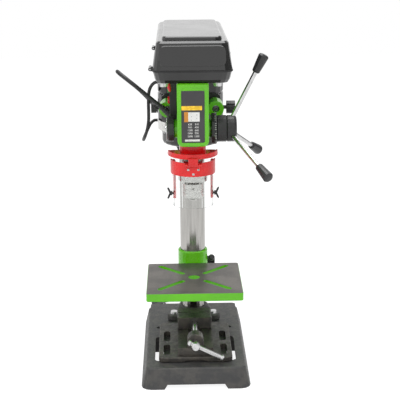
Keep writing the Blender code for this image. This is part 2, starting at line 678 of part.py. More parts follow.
def head_casting():
    """The green casting: quill block, column socket, feed bosses and the two arms of the motor slide."""
    half = HEAD_SIDE
    rear = COLUMN_Y
    outline = arc((half - HEAD_CORNER, HEAD_FOOT_Z + HEAD_CORNER), HEAD_CORNER, -90, 0, 4)
    outline += [(half, HEAD_TOP_Z), (-half, HEAD_TOP_Z)]
    outline += arc((HEAD_CORNER - half, HEAD_FOOT_Z + HEAD_CORNER), HEAD_CORNER, 180, 270, 4)
    block = soften(prism(outline, -HEAD_FRONT_REACH, rear, "y"), BASE_EDGE_ROUND, 1, 60)
    made = place(block, "head_casting", paint_green(), "press")
    socket_low = HEAD_FOOT_Z - HEAD_SOCKET_DROP
    edge = BASE_EDGE_ROUND
    socket = [
        (0, socket_low), (HEAD_SOCKET_RADIUS - edge, socket_low), (HEAD_SOCKET_RADIUS, socket_low + edge),
        (HEAD_SOCKET_RADIUS, HEAD_TOP_Z), (0, HEAD_TOP_Z),
    ]
    joined(made, turned(socket, "z", (0, COLUMN_Y, 0), 20))
    boss = rod(FEED_BOSS_RADIUS, -BOSS_FACE_X, BOSS_FACE_X, "x", (FEED_Y, FEED_Z), 16)
    joined(made, soften(boss, edge, 1, 60))
    web_low, web_high = ROD_Z - ROD_WEB_HEIGHT / 2, ROD_Z + ROD_WEB_HEIGHT / 2
    rod_rear = ROD_BOSS_FRONT_Y + ROD_BOSS_LENGTH
    web = [(-ROD_OUTSET, web_low), (ROD_OUTSET, web_low), (ROD_OUTSET, web_high), (-ROD_OUTSET, web_high)]
    joined(made, prism(web, ROD_BOSS_FRONT_Y + edge, rod_rear - edge, "y"))
    for side in (-1, 1):
        centre = (side * ROD_OUTSET, ROD_Z)
        joined(made, rod(ROD_BOSS_RADIUS, ROD_BOSS_FRONT_Y, rod_rear, "y", centre, 14))
    quill_bore = QUILL_RADIUS + QUILL_BORE_GAP
    quill_roof = QUILL_FOOT_Z + QUILL_LENGTH + RUNNING_GAP
    sleeve_bore = PULLEY_BEARING_RADIUS + GAP
    bores = [
        (0, HEAD_FOOT_Z - OVERRUN), (quill_bore, HEAD_FOOT_Z - OVERRUN), (quill_bore, quill_roof),
        (sleeve_bore, quill_roof), (sleeve_bore, HEAD_TOP_Z + OVERRUN), (0, HEAD_TOP_Z + OVERRUN),
    ]
    shaped(made, turned(bores, "z", (0, 0, 0), 20))
    column_roof = HEAD_TOP_Z - COLUMN_TOP_SINK + GAP
    shaped(made, rod(COLUMN_RADIUS + GAP, socket_low - OVERRUN, column_roof, "z", (0, COLUMN_Y), 20))
    shaped(made, rod(FEED_BORE, -BOSS_FACE_X - OVERRUN, BOSS_FACE_X + OVERRUN, "x", (FEED_Y, FEED_Z), 16))
    for side in (-1, 1):
        centre = (side * ROD_OUTSET, ROD_Z)
        shaped(made, rod(ROD_RADIUS + GAP, ROD_BOSS_FRONT_Y - OVERRUN, rod_rear + OVERRUN, "y", centre, 12))
        tip = side * (ROD_OUTSET + ROD_BOSS_RADIUS + OVERRUN)
        shaped(made, rod(LOCK_SCREW_RADIUS + GAP, side * ROD_OUTSET, tip, "x", (LOCK_Y, ROD_Z), 10))
    panel = rounded(HEAD_WIDTH - 2 * HEAD_PANEL_BORDER, HEAD_TOP_Z - HEAD_FOOT_Z - 2 * HEAD_PANEL_BORDER,
                    HEAD_CORNER / 3, (0, (HEAD_TOP_Z + HEAD_FOOT_Z) / 2), 2)
    shaped(made, prism(panel, -HEAD_FRONT_REACH - OVERRUN, HEAD_PANEL_DEPTH - HEAD_FRONT_REACH, "y"))
    return made


LOCK_Y = ROD_BOSS_FRONT_Y + ROD_BOSS_LENGTH / 2


def quill():
    """A ground sleeve with a rack down its back and a narrower nose."""
    top = QUILL_FOOT_Z + QUILL_LENGTH
    shoulder = QUILL_FOOT_Z + QUILL_NOSE_LENGTH
    edge = RACK_BACKLASH
    bore = SPINDLE_RADIUS + RUNNING_GAP
    profile = [
        (bore, QUILL_FOOT_Z), (QUILL_NOSE_RADIUS - edge, QUILL_FOOT_Z), (QUILL_NOSE_RADIUS, QUILL_FOOT_Z + edge),
        (QUILL_NOSE_RADIUS, shoulder), (QUILL_RADIUS - edge, shoulder), (QUILL_RADIUS, shoulder + edge),
        (QUILL_RADIUS, top - edge), (QUILL_RADIUS - edge, top), (bore, top),
    ]
    made = place(turned(profile, "z", (0, 0, 0), 20), "quill", steel(), "quill_axis")
    pitch = math.pi * PINION_MODULE
    tip_y = RACK_PITCH_Y + PINION_MODULE
    root_y = RACK_PITCH_Y - PINION_MODULE - RUNNING_GAP
    low = QUILL_FOOT_Z + QUILL_NOSE_LENGTH + pitch
    start = FEED_Z - pitch * math.floor((FEED_Z - low) / pitch)
    count = math.ceil((top - start) / pitch)
    flank = PINION_MODULE * math.tan(math.radians(20))
    half_tooth = pitch / 4 - RACK_BACKLASH / 2
    outline = [(QUILL_RADIUS + OVERRUN, start - pitch / 2), (tip_y, start - pitch / 2)]
    for i in range(count):
        middle = start + i * pitch
        outline += [
            (tip_y, middle - pitch / 2 + half_tooth - flank), (root_y, middle - pitch / 2 + half_tooth + flank),
            (root_y, middle + pitch / 2 - half_tooth - flank), (tip_y, middle + pitch / 2 - half_tooth + flank),
        ]
    last = start + (count - 1) * pitch + pitch / 2
    outline += [(tip_y, last), (QUILL_RADIUS + OVERRUN, last)]
    half_face = PINION_FACE / 2 + GAP
    shaped(made, prism(outline, -half_face, half_face, "x"))
    return made


def spindle():
    """The drive shaft: arbor end below, a splined length that slides in the pulley above."""
    bottom = CHUCK_TOP_Z + GAP
    spline_low = QUILL_FOOT_Z + QUILL_LENGTH + RUNNING_GAP
    nose = QUILL_FOOT_Z - RUNNING_GAP
    outline = []
    for i in range(SPLINE_COUNT):
        middle = 360 / SPLINE_COUNT * i
        outline += arc((0, 0), SPINDLE_RADIUS, middle - 15, middle + 15, 1)
        outline += arc((0, 0), SPINDLE_RADIUS - SPLINE_DEPTH, middle + 19, middle + 41, 1)
    rings = [[(x, y, z) for x, y in outline] for z in (spline_low, SPINDLE_TOP_Z)]
    made = place(loft(rings), "spindle", steel(), "spindle_axis")
    shank = [
        (0, bottom), (SPINDLE_RADIUS, bottom), (SPINDLE_RADIUS, nose - ARBOR_LENGTH / 3),
        (QUILL_NOSE_RADIUS - QUILL_WALL, nose - ARBOR_LENGTH / 3), (QUILL_NOSE_RADIUS - QUILL_WALL, nose),
        (SPINDLE_RADIUS, nose), (SPINDLE_RADIUS, spline_low + GAP), (0, spline_low + GAP),
    ]
    joined(made, turned(shank, "z", (0, 0, 0), 20))
    return made


def jaw_outline(grow):
    """A jaw's cross-section: a 120 degree wedge towards the axis and a square back."""
    half = JAW_HALF_WIDTH + grow
    wedge = half / math.tan(math.radians(60))
    return [(-grow, 0), (wedge - grow, -half), (JAW_DEPTH + grow, -half), (JAW_DEPTH + grow, half), (wedge - grow, half)]


def jaw_solid(bearing, grow, low, high):
    """A slanted jaw at one bearing round the chuck, from one height to another along its slope."""
    slope = math.tan(math.radians(JAW_TILT_DEGREES))
    tip_z = CHUCK_NOSE_Z - JAW_REACH
    rings = []
    for z in (low, high):
        out = GAP + (z - tip_z) * slope
        rings.append([(out + u, v, z) for u, v in jaw_outline(grow)])
    return turn(loft(rings), bearing, "Z", (0, 0, 0))


def chuck_body():
    top = CHUCK_TOP_Z
    cone = CHUCK_BODY_RADIUS - CHUCK_NOSE_RADIUS
    edge = RUNNING_GAP * 2
    seat = CHUCK_TOP_RADIUS
    sleeve_top = CHUCK_SLEEVE_Z + CHUCK_SLEEVE_LENGTH
    profile = [
        (0, CHUCK_NOSE_Z), (CHUCK_NOSE_RADIUS, CHUCK_NOSE_Z), (CHUCK_BODY_RADIUS, CHUCK_NOSE_Z + cone * CHUCK_CONE_SHARE),
        (CHUCK_BODY_RADIUS, CHUCK_SLEEVE_Z - edge), (CHUCK_BODY_RADIUS - edge, CHUCK_SLEEVE_Z - edge / 2),
        (seat, CHUCK_SLEEVE_Z - edge / 2), (seat, sleeve_top + edge / 2),
        (CHUCK_BODY_RADIUS, sleeve_top + edge / 2), (CHUCK_BODY_RADIUS, top - 2 * edge),
        (CHUCK_BODY_RADIUS - 2 * edge, top), (0, top),
    ]
    made = place(turned(profile, "z", (0, 0, 0), 20), "chuck_body", steel(), "spindle_axis")
    slope = math.tan(math.radians(JAW_TILT_DEGREES))
    jaw_top = CHUCK_NOSE_Z - JAW_REACH + JAW_LENGTH + JAW_TRAVEL * math.cos(math.radians(JAW_TILT_DEGREES))
    for i in range(3):
        shaped(made, jaw_solid(120 * i + 90, GAP, CHUCK_NOSE_Z - OVERRUN, jaw_top + GAP))
        bearing = 120 * i + 30
        hole = rod(KEY_HOLE_RADIUS, CHUCK_BODY_RADIUS - KEY_HOLE_DEPTH, CHUCK_BODY_RADIUS + OVERRUN, "x",
                   (0, CHUCK_SLEEVE_Z - 2 * KEY_HOLE_RADIUS), 12)
        shaped(made, turn(hole, bearing + 240, "Z", (0, 0, 0)))
    mouth = [
        (0, CHUCK_NOSE_Z - OVERRUN), (JAW_DEPTH * slope + GAP, CHUCK_NOSE_Z - OVERRUN),
        (JAW_DEPTH * slope + GAP, jaw_top), (0, jaw_top),
    ]
    shaped(made, turned(mouth, "z", (0, 0, 0), 16))
    return made


def chuck_sleeve():
    """The key-driven ring, with bevel teeth round its lower edge and a coned bore for the backs of the open jaws."""
    low = CHUCK_SLEEVE_Z
    top = low + CHUCK_SLEEVE_LENGTH
    tooth_top = low + CHUCK_GEAR_HEIGHT
    edge = RUNNING_GAP * 2
    inner = CHUCK_TOP_RADIUS + RUNNING_GAP
    profile = [
        (inner, tooth_top - edge), (CHUCK_SLEEVE_RADIUS - edge, tooth_top - edge), (CHUCK_SLEEVE_RADIUS, tooth_top),
        (CHUCK_SLEEVE_RADIUS, top - edge), (CHUCK_SLEEVE_RADIUS - edge, top), (inner, top),
    ]
    made = place(turned(profile, "z", (0, 0, 0), 20), "chuck_sleeve", steel(), "sleeve_axis")
    step = 360 / CHUCK_TEETH
    depth = (CHUCK_SLEEVE_RADIUS - CHUCK_BODY_RADIUS) * TOOTH_DEPTH_SHARE
    rings = []
    for z, outer in ((low, CHUCK_BODY_RADIUS + edge), (tooth_top, CHUCK_SLEEVE_RADIUS)):
        ring = []
        for i in range(CHUCK_TEETH):
            middle = i * step
            ring += arc((0, 0), outer, middle - step * TOOTH_TIP_SHARE, middle + step * TOOTH_TIP_SHARE, 1)
            following = middle + step
            root = step * TOOTH_ROOT_SHARE
            ring += arc((0, 0), outer - depth, middle + root, following - root, 1)
        rings.append([(x, y, z) for x, y in ring])
    joined(made, loft(rings))
    slope = math.tan(math.radians(JAW_TILT_DEGREES))
    jaw_low = CHUCK_NOSE_Z - JAW_REACH
    roof = jaw_low + JAW_LENGTH + JAW_TRAVEL * math.cos(math.radians(JAW_TILT_DEGREES)) + edge
    lip = low + edge * 2
    reach = GAP + JAW_DEPTH + (roof - jaw_low) * slope
    back = math.hypot(reach, JAW_HALF_WIDTH) + edge
    bore = [
        (0, low - OVERRUN), (inner, low - OVERRUN), (inner, lip), (back, roof), (inner, roof),
        (inner, top + OVERRUN), (0, top + OVERRUN),
    ]
    shaped(made, turned(bore, "z", (0, 0, 0), 20))
    return made


def chuck_jaws():
    low = CHUCK_NOSE_Z - JAW_REACH
    made = []
    for i in range(3):
        solid = jaw_solid(120 * i + 90, 0, low, low + JAW_LENGTH)
        made.append(place(solid, f"chuck_jaw_{i + 1}", steel(), f"jaw_axis_{i + 1}"))
    return made


def gear_outline(centre, teeth, module, thinner):
    """A spur gear with straight-sided teeth, one tooth on the +X side of its centre turned to the outline's u axis."""
    outline = []
    pitch_radius = teeth * module / 2
    half = 90 / teeth - math.degrees(thinner / 2 / pitch_radius)
    lean = math.degrees(math.tan(math.radians(20)) * module / pitch_radius)
    for i in range(teeth):
        middle = 360 / teeth * i + 180
        tip = half - lean
        root = half + lean * 0.9
        outline += arc(centre, pitch_radius + module, middle - tip, middle + tip, 1)
        following = middle + 360 / teeth
        outline += arc(centre, pitch_radius - module - RUNNING_GAP, middle + root, following - root, 1)
    return outline


def feed_shaft():
    """Pinion in the middle, plain shaft to the spring cap on the left and through the hub on the right."""
    outline = gear_outline((FEED_Y, FEED_Z), PINION_TEETH, PINION_MODULE, RACK_BACKLASH)
    face = PINION_FACE / 2
    made = place(prism(outline, -face, face, "x"), "feed_shaft", steel(), "feed_axis")
    root = PITCH_RADIUS - PINION_MODULE - RUNNING_GAP * 2
    left = -BOSS_FACE_X - SPRING_CAP_LENGTH / 2
    right = HUB_START_X + HUB_LENGTH / 3
    joined(made, rod(root, left, right, "x", (FEED_Y, FEED_Z), 16))
    return made


def feed_hub():
    """The round black hub, bored for the shaft and drilled for the three levers."""
    r, edge, groove = HUB_RADIUS, HUB_ROUND, HUB_GROOVE
    middle = HUB_START_X + HUB_LENGTH / 2
    profile = [(0, HUB_START_X), (r - groove, HUB_START_X), (r, HUB_START_X + groove)]
    profile += [(r, middle - groove), (r - groove, middle), (r, middle + groove)]
    profile += [(r - edge + dy, HUB_END_X - edge + dx) for dx, dy in arc((0, 0), edge, 90, 0, 3)]
    profile += [(0, HUB_END_X)]
    made = place(turned(profile, "x", (0, FEED_Y, FEED_Z), 20), "feed_hub", black_plastic(), "feed_axis")
    bore = PITCH_RADIUS - PINION_MODULE - RUNNING_GAP * 2 + GAP
    deep = HUB_START_X + HUB_LENGTH / 3 + GAP
    shaped(made, rod(bore, HUB_START_X - OVERRUN, deep, "x", (FEED_Y, FEED_Z), 16))
    for i in range(LEVER_COUNT):
        shaped(made, lever_rod_solid(i, LEVER_RADIUS + GAP, LEVER_SEAT - GAP, LEVER_KNOB_START))
    return made


LEVER_SEAT = 0.017


def lever_axis(index):
    """Where a lever starts on the feed axis, and its direction: splayed outwards by the tilt."""
    angle = math.radians(LEVER_START_DEGREES + index * 360 / LEVER_COUNT)
    tilt = math.radians(LEVER_TILT_DEGREES)
    direction = Vector((math.sin(tilt), math.cos(tilt) * math.cos(angle), math.cos(tilt) * math.sin(angle)))
    return Vector((HUB_START_X + HUB_LENGTH / 2, FEED_Y, FEED_Z)), direction


def along_lever(mesh, index):
    """Stands a mesh that was made along +Z from the origin on a lever's axis."""
    start, direction = lever_axis(index)
    matrix = Matrix.Translation(start) @ direction.to_track_quat("Z", "Y").to_matrix().to_4x4()
    bmesh.ops.transform(mesh, matrix=matrix, verts=mesh.verts)
    return mesh


def lever_rod_solid(index, radius, low, high):
    return along_lever(rod(radius, low, high, "z", (0, 0), 14), index)


def levers():
    """Three rods screwed into the hub, each with a tapered grip."""
    grip_end = LEVER_KNOB_START + LEVER_KNOB_LENGTH
    edge = LEVER_KNOB_SMALL / 4
    bore = LEVER_RADIUS + GAP
    stem_end = grip_end - 3 * edge
    profile = [
        (0, stem_end + GAP), (bore, stem_end + GAP), (bore, LEVER_KNOB_START),
        (LEVER_KNOB_SMALL - edge, LEVER_KNOB_START), (LEVER_KNOB_SMALL, LEVER_KNOB_START + edge),
        (LEVER_KNOB_LARGE, grip_end - 2 * edge), (LEVER_KNOB_LARGE - edge, grip_end - edge / 2),
        (LEVER_KNOB_LARGE - 3 * edge, grip_end), (0, grip_end),
    ]
    for i in range(LEVER_COUNT):
        stem = lever_rod_solid(i, LEVER_RADIUS, LEVER_SEAT, stem_end)
        place(stem, f"feed_lever_{i + 1}", steel(), "feed_axis")
        place(along_lever(turned(profile, "z", (0, 0, 0), 14), i), f"lever_knob_{i + 1}", black_plastic(),
              "feed_axis")


def depth_ring():
    """The scale ring between the head and the hub, which stops the quill at a set depth."""
    edge = HUB_GROOVE
    low, high = RING_START_X, RING_START_X + DEPTH_RING_LENGTH
    r = DEPTH_RING_RADIUS
    profile = [
        (DEPTH_RING_BORE, low), (r - edge, low), (r, low + edge), (r, high - edge), (r - edge, high),
        (DEPTH_RING_BORE, high),
    ]
    return place(turned(profile, "x", (0, FEED_Y, FEED_Z), 20), "depth_ring", black_plastic(), "ring_axis")


def spring_cap():
    """The return spring's steel cap on the head's left side."""
    face = -BOSS_FACE_X - GAP
    end = face - SPRING_CAP_LENGTH
    r, rim = SPRING_CAP_RADIUS, SPRING_CAP_RIM
    bore = SHAFT_RADIUS + RUNNING_GAP
    profile = [
        (bore, face), (r, face), (r, end + 2 * rim), (r - rim, end + rim), (r - 2 * rim, end + rim),
        (r - 3 * rim, end), (bore, end),
    ]
    return place(turned(profile, "x", (0, FEED_Y, FEED_Z), 22), "spring_cap", black_plastic(), "press")


def ring_sector(inner, outer, low, high, start, end, steps):
    """A part of an upright tube between two bearings."""
    outline = arc((0, 0), outer, start, end, steps) + arc((0, 0), inner, end, start, steps)
    return prism(outline, low, high)


def guard_clamp():
    """The red plate that clamps round the quill's nose and carries the hood at its front tab."""
    low = GUARD_CLAMP_Z
    plate_top = low + GUARD_PLATE_THICKNESS
    edge = GUARD_PLATE_THICKNESS / 3
    r = GUARD_PLATE_RADIUS
    outline = arc((0, 0), r, 180, 360, 12)
    outline += arc((r - BASE_CORNER, GUARD_CLAMP_RADIUS - BASE_CORNER), BASE_CORNER, 0, 90, 3)
    outline += arc((BASE_CORNER - r, GUARD_CLAMP_RADIUS - BASE_CORNER), BASE_CORNER, 90, 180, 3)
    made = place(soften(prism(outline, low, plate_top), edge, 1, 50), "guard_clamp", paint_red(), "quill_axis")
    joined(made, ring_sector(r - GUARD_PLATE_THICKNESS, r - edge / 2, plate_top - edge, low + GUARD_PLATE_LIP,
                             182, 358, 12))
    clamp_low = QUILL_FOOT_Z + GAP
    clamp_top = clamp_low + GUARD_CLAMP_HEIGHT
    joined(made, rod(GUARD_CLAMP_RADIUS, plate_top - edge, clamp_top, "z", (0, 0), 20))
    tab = rounded(GUARD_TAB_WIDTH, 2 * GUARD_PLATE_THICKNESS, edge,
                  (0, -r + GUARD_PLATE_THICKNESS - HOOD_HINGE_RADIUS), 1)
    joined(made, prism(tab, HOOD_HINGE_Z, plate_top - edge))
    joined(made, rod(HOOD_HINGE_RADIUS, -GUARD_TAB_WIDTH / 2, GUARD_TAB_WIDTH / 2, "x",
                     (HOOD_HINGE_Y, HOOD_HINGE_Z), 14))
    shaped(made, rod(QUILL_NOSE_RADIUS + GAP, low - OVERRUN, clamp_top + OVERRUN, "z", (0, 0), 20))
    shaped(made, rod(CHUCK_BODY_RADIUS + RUNNING_GAP, low - OVERRUN, clamp_low, "z", (0, 0), 20))
    shaped(made, rod(HOOD_PIN_RADIUS + GAP, -GUARD_TAB_WIDTH, GUARD_TAB_WIDTH, "x",
                     (HOOD_HINGE_Y, HOOD_HINGE_Z), 12))
    return made


HOOD_HINGE_Y = -HOOD_RADIUS - HOOD_HINGE_RADIUS - RUNNING_GAP
HOOD_HINGE_Z = HOOD_TOP_Z - HOOD_HINGE_RADIUS


def guard_hood():
    """The red half drum, with hinge knuckles at its front and two arms that hold the clear shield."""
    low = HOOD_TOP_Z - HOOD_HEIGHT
    inner = HOOD_RADIUS - HOOD_WALL
    made = place(ring_sector(inner, HOOD_RADIUS, low, HOOD_TOP_Z, 180, 360, 18), "guard_hood", paint_red(),
                 "hood_axis")
    knuckle = GUARD_TAB_WIDTH / 2 + RUNNING_GAP
    ear_outline = arc((HOOD_HINGE_Y, HOOD_HINGE_Z), HOOD_HINGE_RADIUS, 90, 270, 7)
    ear_end = -math.sqrt((inner + HOOD_WALL / 2) ** 2 - knuckle ** 2)
    ear_outline += [(ear_end, HOOD_HINGE_Z - HOOD_HINGE_RADIUS), (ear_end, HOOD_HINGE_Z + HOOD_HINGE_RADIUS)]
    for side in (-1, 1):
        joined(made, prism(ear_outline, side * knuckle, side * (knuckle + GUARD_TAB_WIDTH / 3), "x"))
        middle = 270 + side * (90 - HOOD_ARM_DEGREES)
        bearings = middle - HOOD_ARM_SPREAD_DEGREES, middle + HOOD_ARM_SPREAD_DEGREES
        arm_outer = SHIELD_RADIUS - SHIELD_WALL - GAP
        arm_inner = arm_outer - HOOD_WALL
        arm_low = low - HOOD_ARM_LENGTH
        joined(made, ring_sector(arm_inner, arm_outer, arm_low, HOOD_TOP_Z, *bearings, 4))
        bridge_low = HOOD_TOP_Z - HOOD_WALL
        joined(made, ring_sector(arm_inner + GAP, HOOD_RADIUS - GAP, bridge_low, HOOD_TOP_Z - GAP, *bearings, 4))
        shaped(made, rod(WING_SCREW_RADIUS + GAP, side * (arm_inner - OVERRUN), side * (arm_outer + OVERRUN), "x",
                         (WING_Y, WING_SCREW_Z), 12))
    pin_end = knuckle + GUARD_TAB_WIDTH / 3
    joined(made, rod(HOOD_PIN_RADIUS, -pin_end + HOOD_WALL, pin_end - HOOD_WALL, "x",
                     (HOOD_HINGE_Y, HOOD_HINGE_Z), 12))
    return made


SHIELD_RADIUS = HOOD_RADIUS - HOOD_WALL - RUNNING_GAP
WING_Y = -SHIELD_RADIUS * math.sin(math.radians(HOOD_ARM_DEGREES))


def clear_shield():
    """The clear half tube, slotted at both sides so that its height can be set."""
    low, high = SHIELD_FOOT_Z, SHIELD_FOOT_Z + SHIELD_HEIGHT
    made = place(ring_sector(SHIELD_RADIUS - SHIELD_WALL, SHIELD_RADIUS, low, high, 180, 360, 22), "clear_shield",
                 clear_plastic(), "shield_axis")
    half = SHIELD_SLOT_WIDTH / 2
    outline = slot((WING_Y, WING_SCREW_Z - SHIELD_LIFT), (WING_Y, WING_SCREW_Z), half, 4)
    for side in (-1, 1):
        shaped(made, prism(outline, side * (SHIELD_RADIUS - 4 * SHIELD_WALL), side * (SHIELD_RADIUS + OVERRUN), "x"))
    return made


def wing_screws():
    """A winged screw at each side of the guard, through the shield's slot into the hood's arm."""
    y = WING_Y
    seat = SHIELD_RADIUS + GAP
    inner = SHIELD_RADIUS - SHIELD_WALL - HOOD_WALL - GAP
    for side, name in ((-1, "left"), (1, "right")):
        profile = [
            (0, side * inner), (WING_SCREW_RADIUS, side * inner), (WING_SCREW_RADIUS, side * seat),
            (WING_HUB_RADIUS, side * seat), (WING_HUB_RADIUS * 0.8, side * (seat + WING_LENGTH * 0.6)),
            (0, side * (seat + WING_LENGTH * 0.6)),
        ]
        made = place(turned(profile, "x", (0, y, WING_SCREW_Z), 14), f"wing_screw_{name}", steel(),
                     f"wing_axis_{name}")
        thickness = WING_HUB_RADIUS * WING_THICKNESS_SHARE
        for up in (-1, 1):
            wing = [
                (seat + WING_LENGTH * 0.15, 0), (seat + WING_LENGTH * 0.55, up * WING_SPAN * 0.75),
                (seat + WING_LENGTH * 0.85, up * WING_SPAN), (seat + WING_LENGTH, up * WING_SPAN * 0.8),
                (seat + WING_LENGTH * 0.8, up * WING_SPAN * 0.4), (seat + WING_LENGTH * 0.55, 0),
            ]
            blade = prism([(side * u, WING_SCREW_Z + v) for u, v in wing], y - thickness / 2, y + thickness / 2, "y")
            joined(made, blade)


def housing_section(bottom_share, z, inset=0.0, rear_corner=HOUSING_CORNER):
    """One level of the belt housing; bottom_share is 1 at its floor and 0 at the seam."""
    width = HOUSING_TOP_WIDTH + (HOUSING_BOTTOM_WIDTH - HOUSING_TOP_WIDTH) * bottom_share - 2 * inset
    front = -HOUSING_FRONT_REACH + HOUSING_FLOOR_INSET * bottom_share + inset
    rear = HOUSING_LENGTH - HOUSING_FRONT_REACH - HOUSING_FLOOR_INSET * bottom_share - inset
    corner = max(rear_corner - inset, inset)
    outline = rounded(width, rear - front, corner, (0, (front + rear) / 2), 3)
    return [(x, y, z) for x, y in outline]


def belt_housing():
    """The open pan that carries the cover, bored for the spindle pulley and slotted for the motor's shaft."""
    floor = HOUSING_FLOOR_Z
    round_z = HOUSING_DEPTH * 0.25
    lip_z = SEAM_Z - HOUSING_LIP_HEIGHT
    outer = [
        housing_section(1.0, floor, HOUSING_WALL), housing_section(0.8, floor + round_z),
        housing_section(0.1, lip_z), housing_section(0, lip_z, -HOUSING_LIP),
        housing_section(0, SEAM_Z, -HOUSING_LIP),
    ]
    made = place(loft(outer), "belt_housing", black_gloss(), "press")
    inner = [
        housing_section(0.9, floor + HOUSING_WALL, HOUSING_WALL), housing_section(0, SEAM_Z + OVERRUN, HOUSING_WALL),
    ]
    shaped(made, loft(inner))
    sleeve = PULLEY_BEARING_RADIUS + RUNNING_GAP * 2
    shaped(made, rod(sleeve, floor - OVERRUN, floor + OVERRUN, "z", (0, 0), 16))
    shaft = MOTOR_SHAFT_RADIUS + RUNNING_GAP * 4
    shaped(made, prism(slot((0, MOTOR_Y - MOTOR_SLIDE), (0, MOTOR_Y), shaft, 6), floor - OVERRUN,
                       floor + OVERRUN))
    for low, high in hinge_spans():
        third = (high - low) / 3
        for start in (low, high - third):
            joined(made, knuckle(start, start + third - RUNNING_GAP, -1))
        shaped(made, rod(HINGE_PIN_RADIUS + GAP, low - OVERRUN, high + OVERRUN, "y", (HINGE_X, SEAM_Z), 8))
    boss = [
        (0, COVER_SIDE_X - HOUSING_WALL), (LATCH_KNOB_RADIUS * 0.8, COVER_SIDE_X - HOUSING_WALL),
        (LATCH_KNOB_RADIUS * 0.8, COVER_SIDE_X + HOUSING_LIP), (0, COVER_SIDE_X + HOUSING_LIP),
    ]
    joined(made, turned(boss, "x", (0, LATCH_Y, LATCH_Z), 12))
    shaped(made, rod(LATCH_STEM_RADIUS + GAP, COVER_SIDE_X - 3 * HOUSING_WALL, COVER_SIDE_X + OVERRUN, "x",
                     (LATCH_Y, LATCH_Z), 12))
    return made


COVER_SIDE_X = HOUSING_TOP_WIDTH / 2
LATCH_Z = SEAM_Z - HOUSING_DEPTH * 0.42
HINGE_X = -HOUSING_TOP_WIDTH / 2 - HOUSING_LIP - HINGE_RADIUS - GAP


def hinge_spans():
    """The stretches of Y that the two cover hinges take."""
    front = -HOUSING_FRONT_REACH + HOUSING_CORNER + HINGE_FRONT_INSET
    rear = HOUSING_LENGTH - HOUSING_FRONT_REACH - HINGE_REAR_INSET
    return (front, front + HINGE_LENGTH), (rear, rear + HINGE_LENGTH)


def knuckle(low, high, down):
    """A hinge knuckle along Y with a web to the wall, which leaves it below the seam or above it."""
    centre = (HINGE_X, SEAM_Z)
    web = HINGE_RADIUS * 0.7
    outline = arc(centre, HINGE_RADIUS, 90, 270, 5)
    if down < 0:
        outline += [(-COVER_SIDE_X + HOUSING_WALL, SEAM_Z - HINGE_RADIUS),
                    (-COVER_SIDE_X + HOUSING_WALL, SEAM_Z - GAP), (HINGE_X + web, SEAM_Z - GAP)]
        outline += arc(centre, HINGE_RADIUS, 20, 90, 3)[1:-1]
    else:
        outline = arc(centre, HINGE_RADIUS, 270, 90, 5)
        outline += [(-COVER_SIDE_X + HOUSING_WALL, SEAM_Z + HINGE_RADIUS),
                    (-COVER_SIDE_X + HOUSING_WALL, COVER_FOOT_Z + GAP), (HINGE_X + web, COVER_FOOT_Z + GAP)]
        outline += arc(centre, HINGE_RADIUS, -20, -90, 3)[1:-1]
    return prism(outline, low, high, "y")


def hinge_pins():
    for (low, high), name in zip(hinge_spans(), ("front", "rear")):
        solid = rod(HINGE_PIN_RADIUS, low - HINGE_RADIUS / 2, high + HINGE_RADIUS / 2, "y", (HINGE_X, SEAM_Z), 8)
        place(solid, f"hinge_pin_{name}", steel(), "press")


def cover_section(share, inset=0.0, lift=0.0):
    """One level of the cover: share is 0 at its foot and 1 at its roof, where it is narrower and leans back."""
    width = HOUSING_TOP_WIDTH + (COVER_TOP_WIDTH - HOUSING_TOP_WIDTH) * share - 2 * inset
    front = -HOUSING_FRONT_REACH + COVER_FRONT_LEAN * share + inset
    rear = HOUSING_LENGTH - HOUSING_FRONT_REACH - COVER_FRONT_LEAN * share - inset
    half = width / 2
    near = max(COVER_CORNER - inset, inset)
    far = max(COVER_REAR_CORNER - inset, inset)
    outline = []
    for corner, radius, start in (
        ((half - far, rear - far), far, 0), ((far - half, rear - far), far, 90),
        ((near - half, front + near), near, 180), ((half - near, front + near), near, 270),
    ):
        outline += arc(corner, radius, start, start + 90, 3)
    z = COVER_FOOT_Z + COVER_HEIGHT * share + lift
    return [(x, y, z) for x, y in outline]


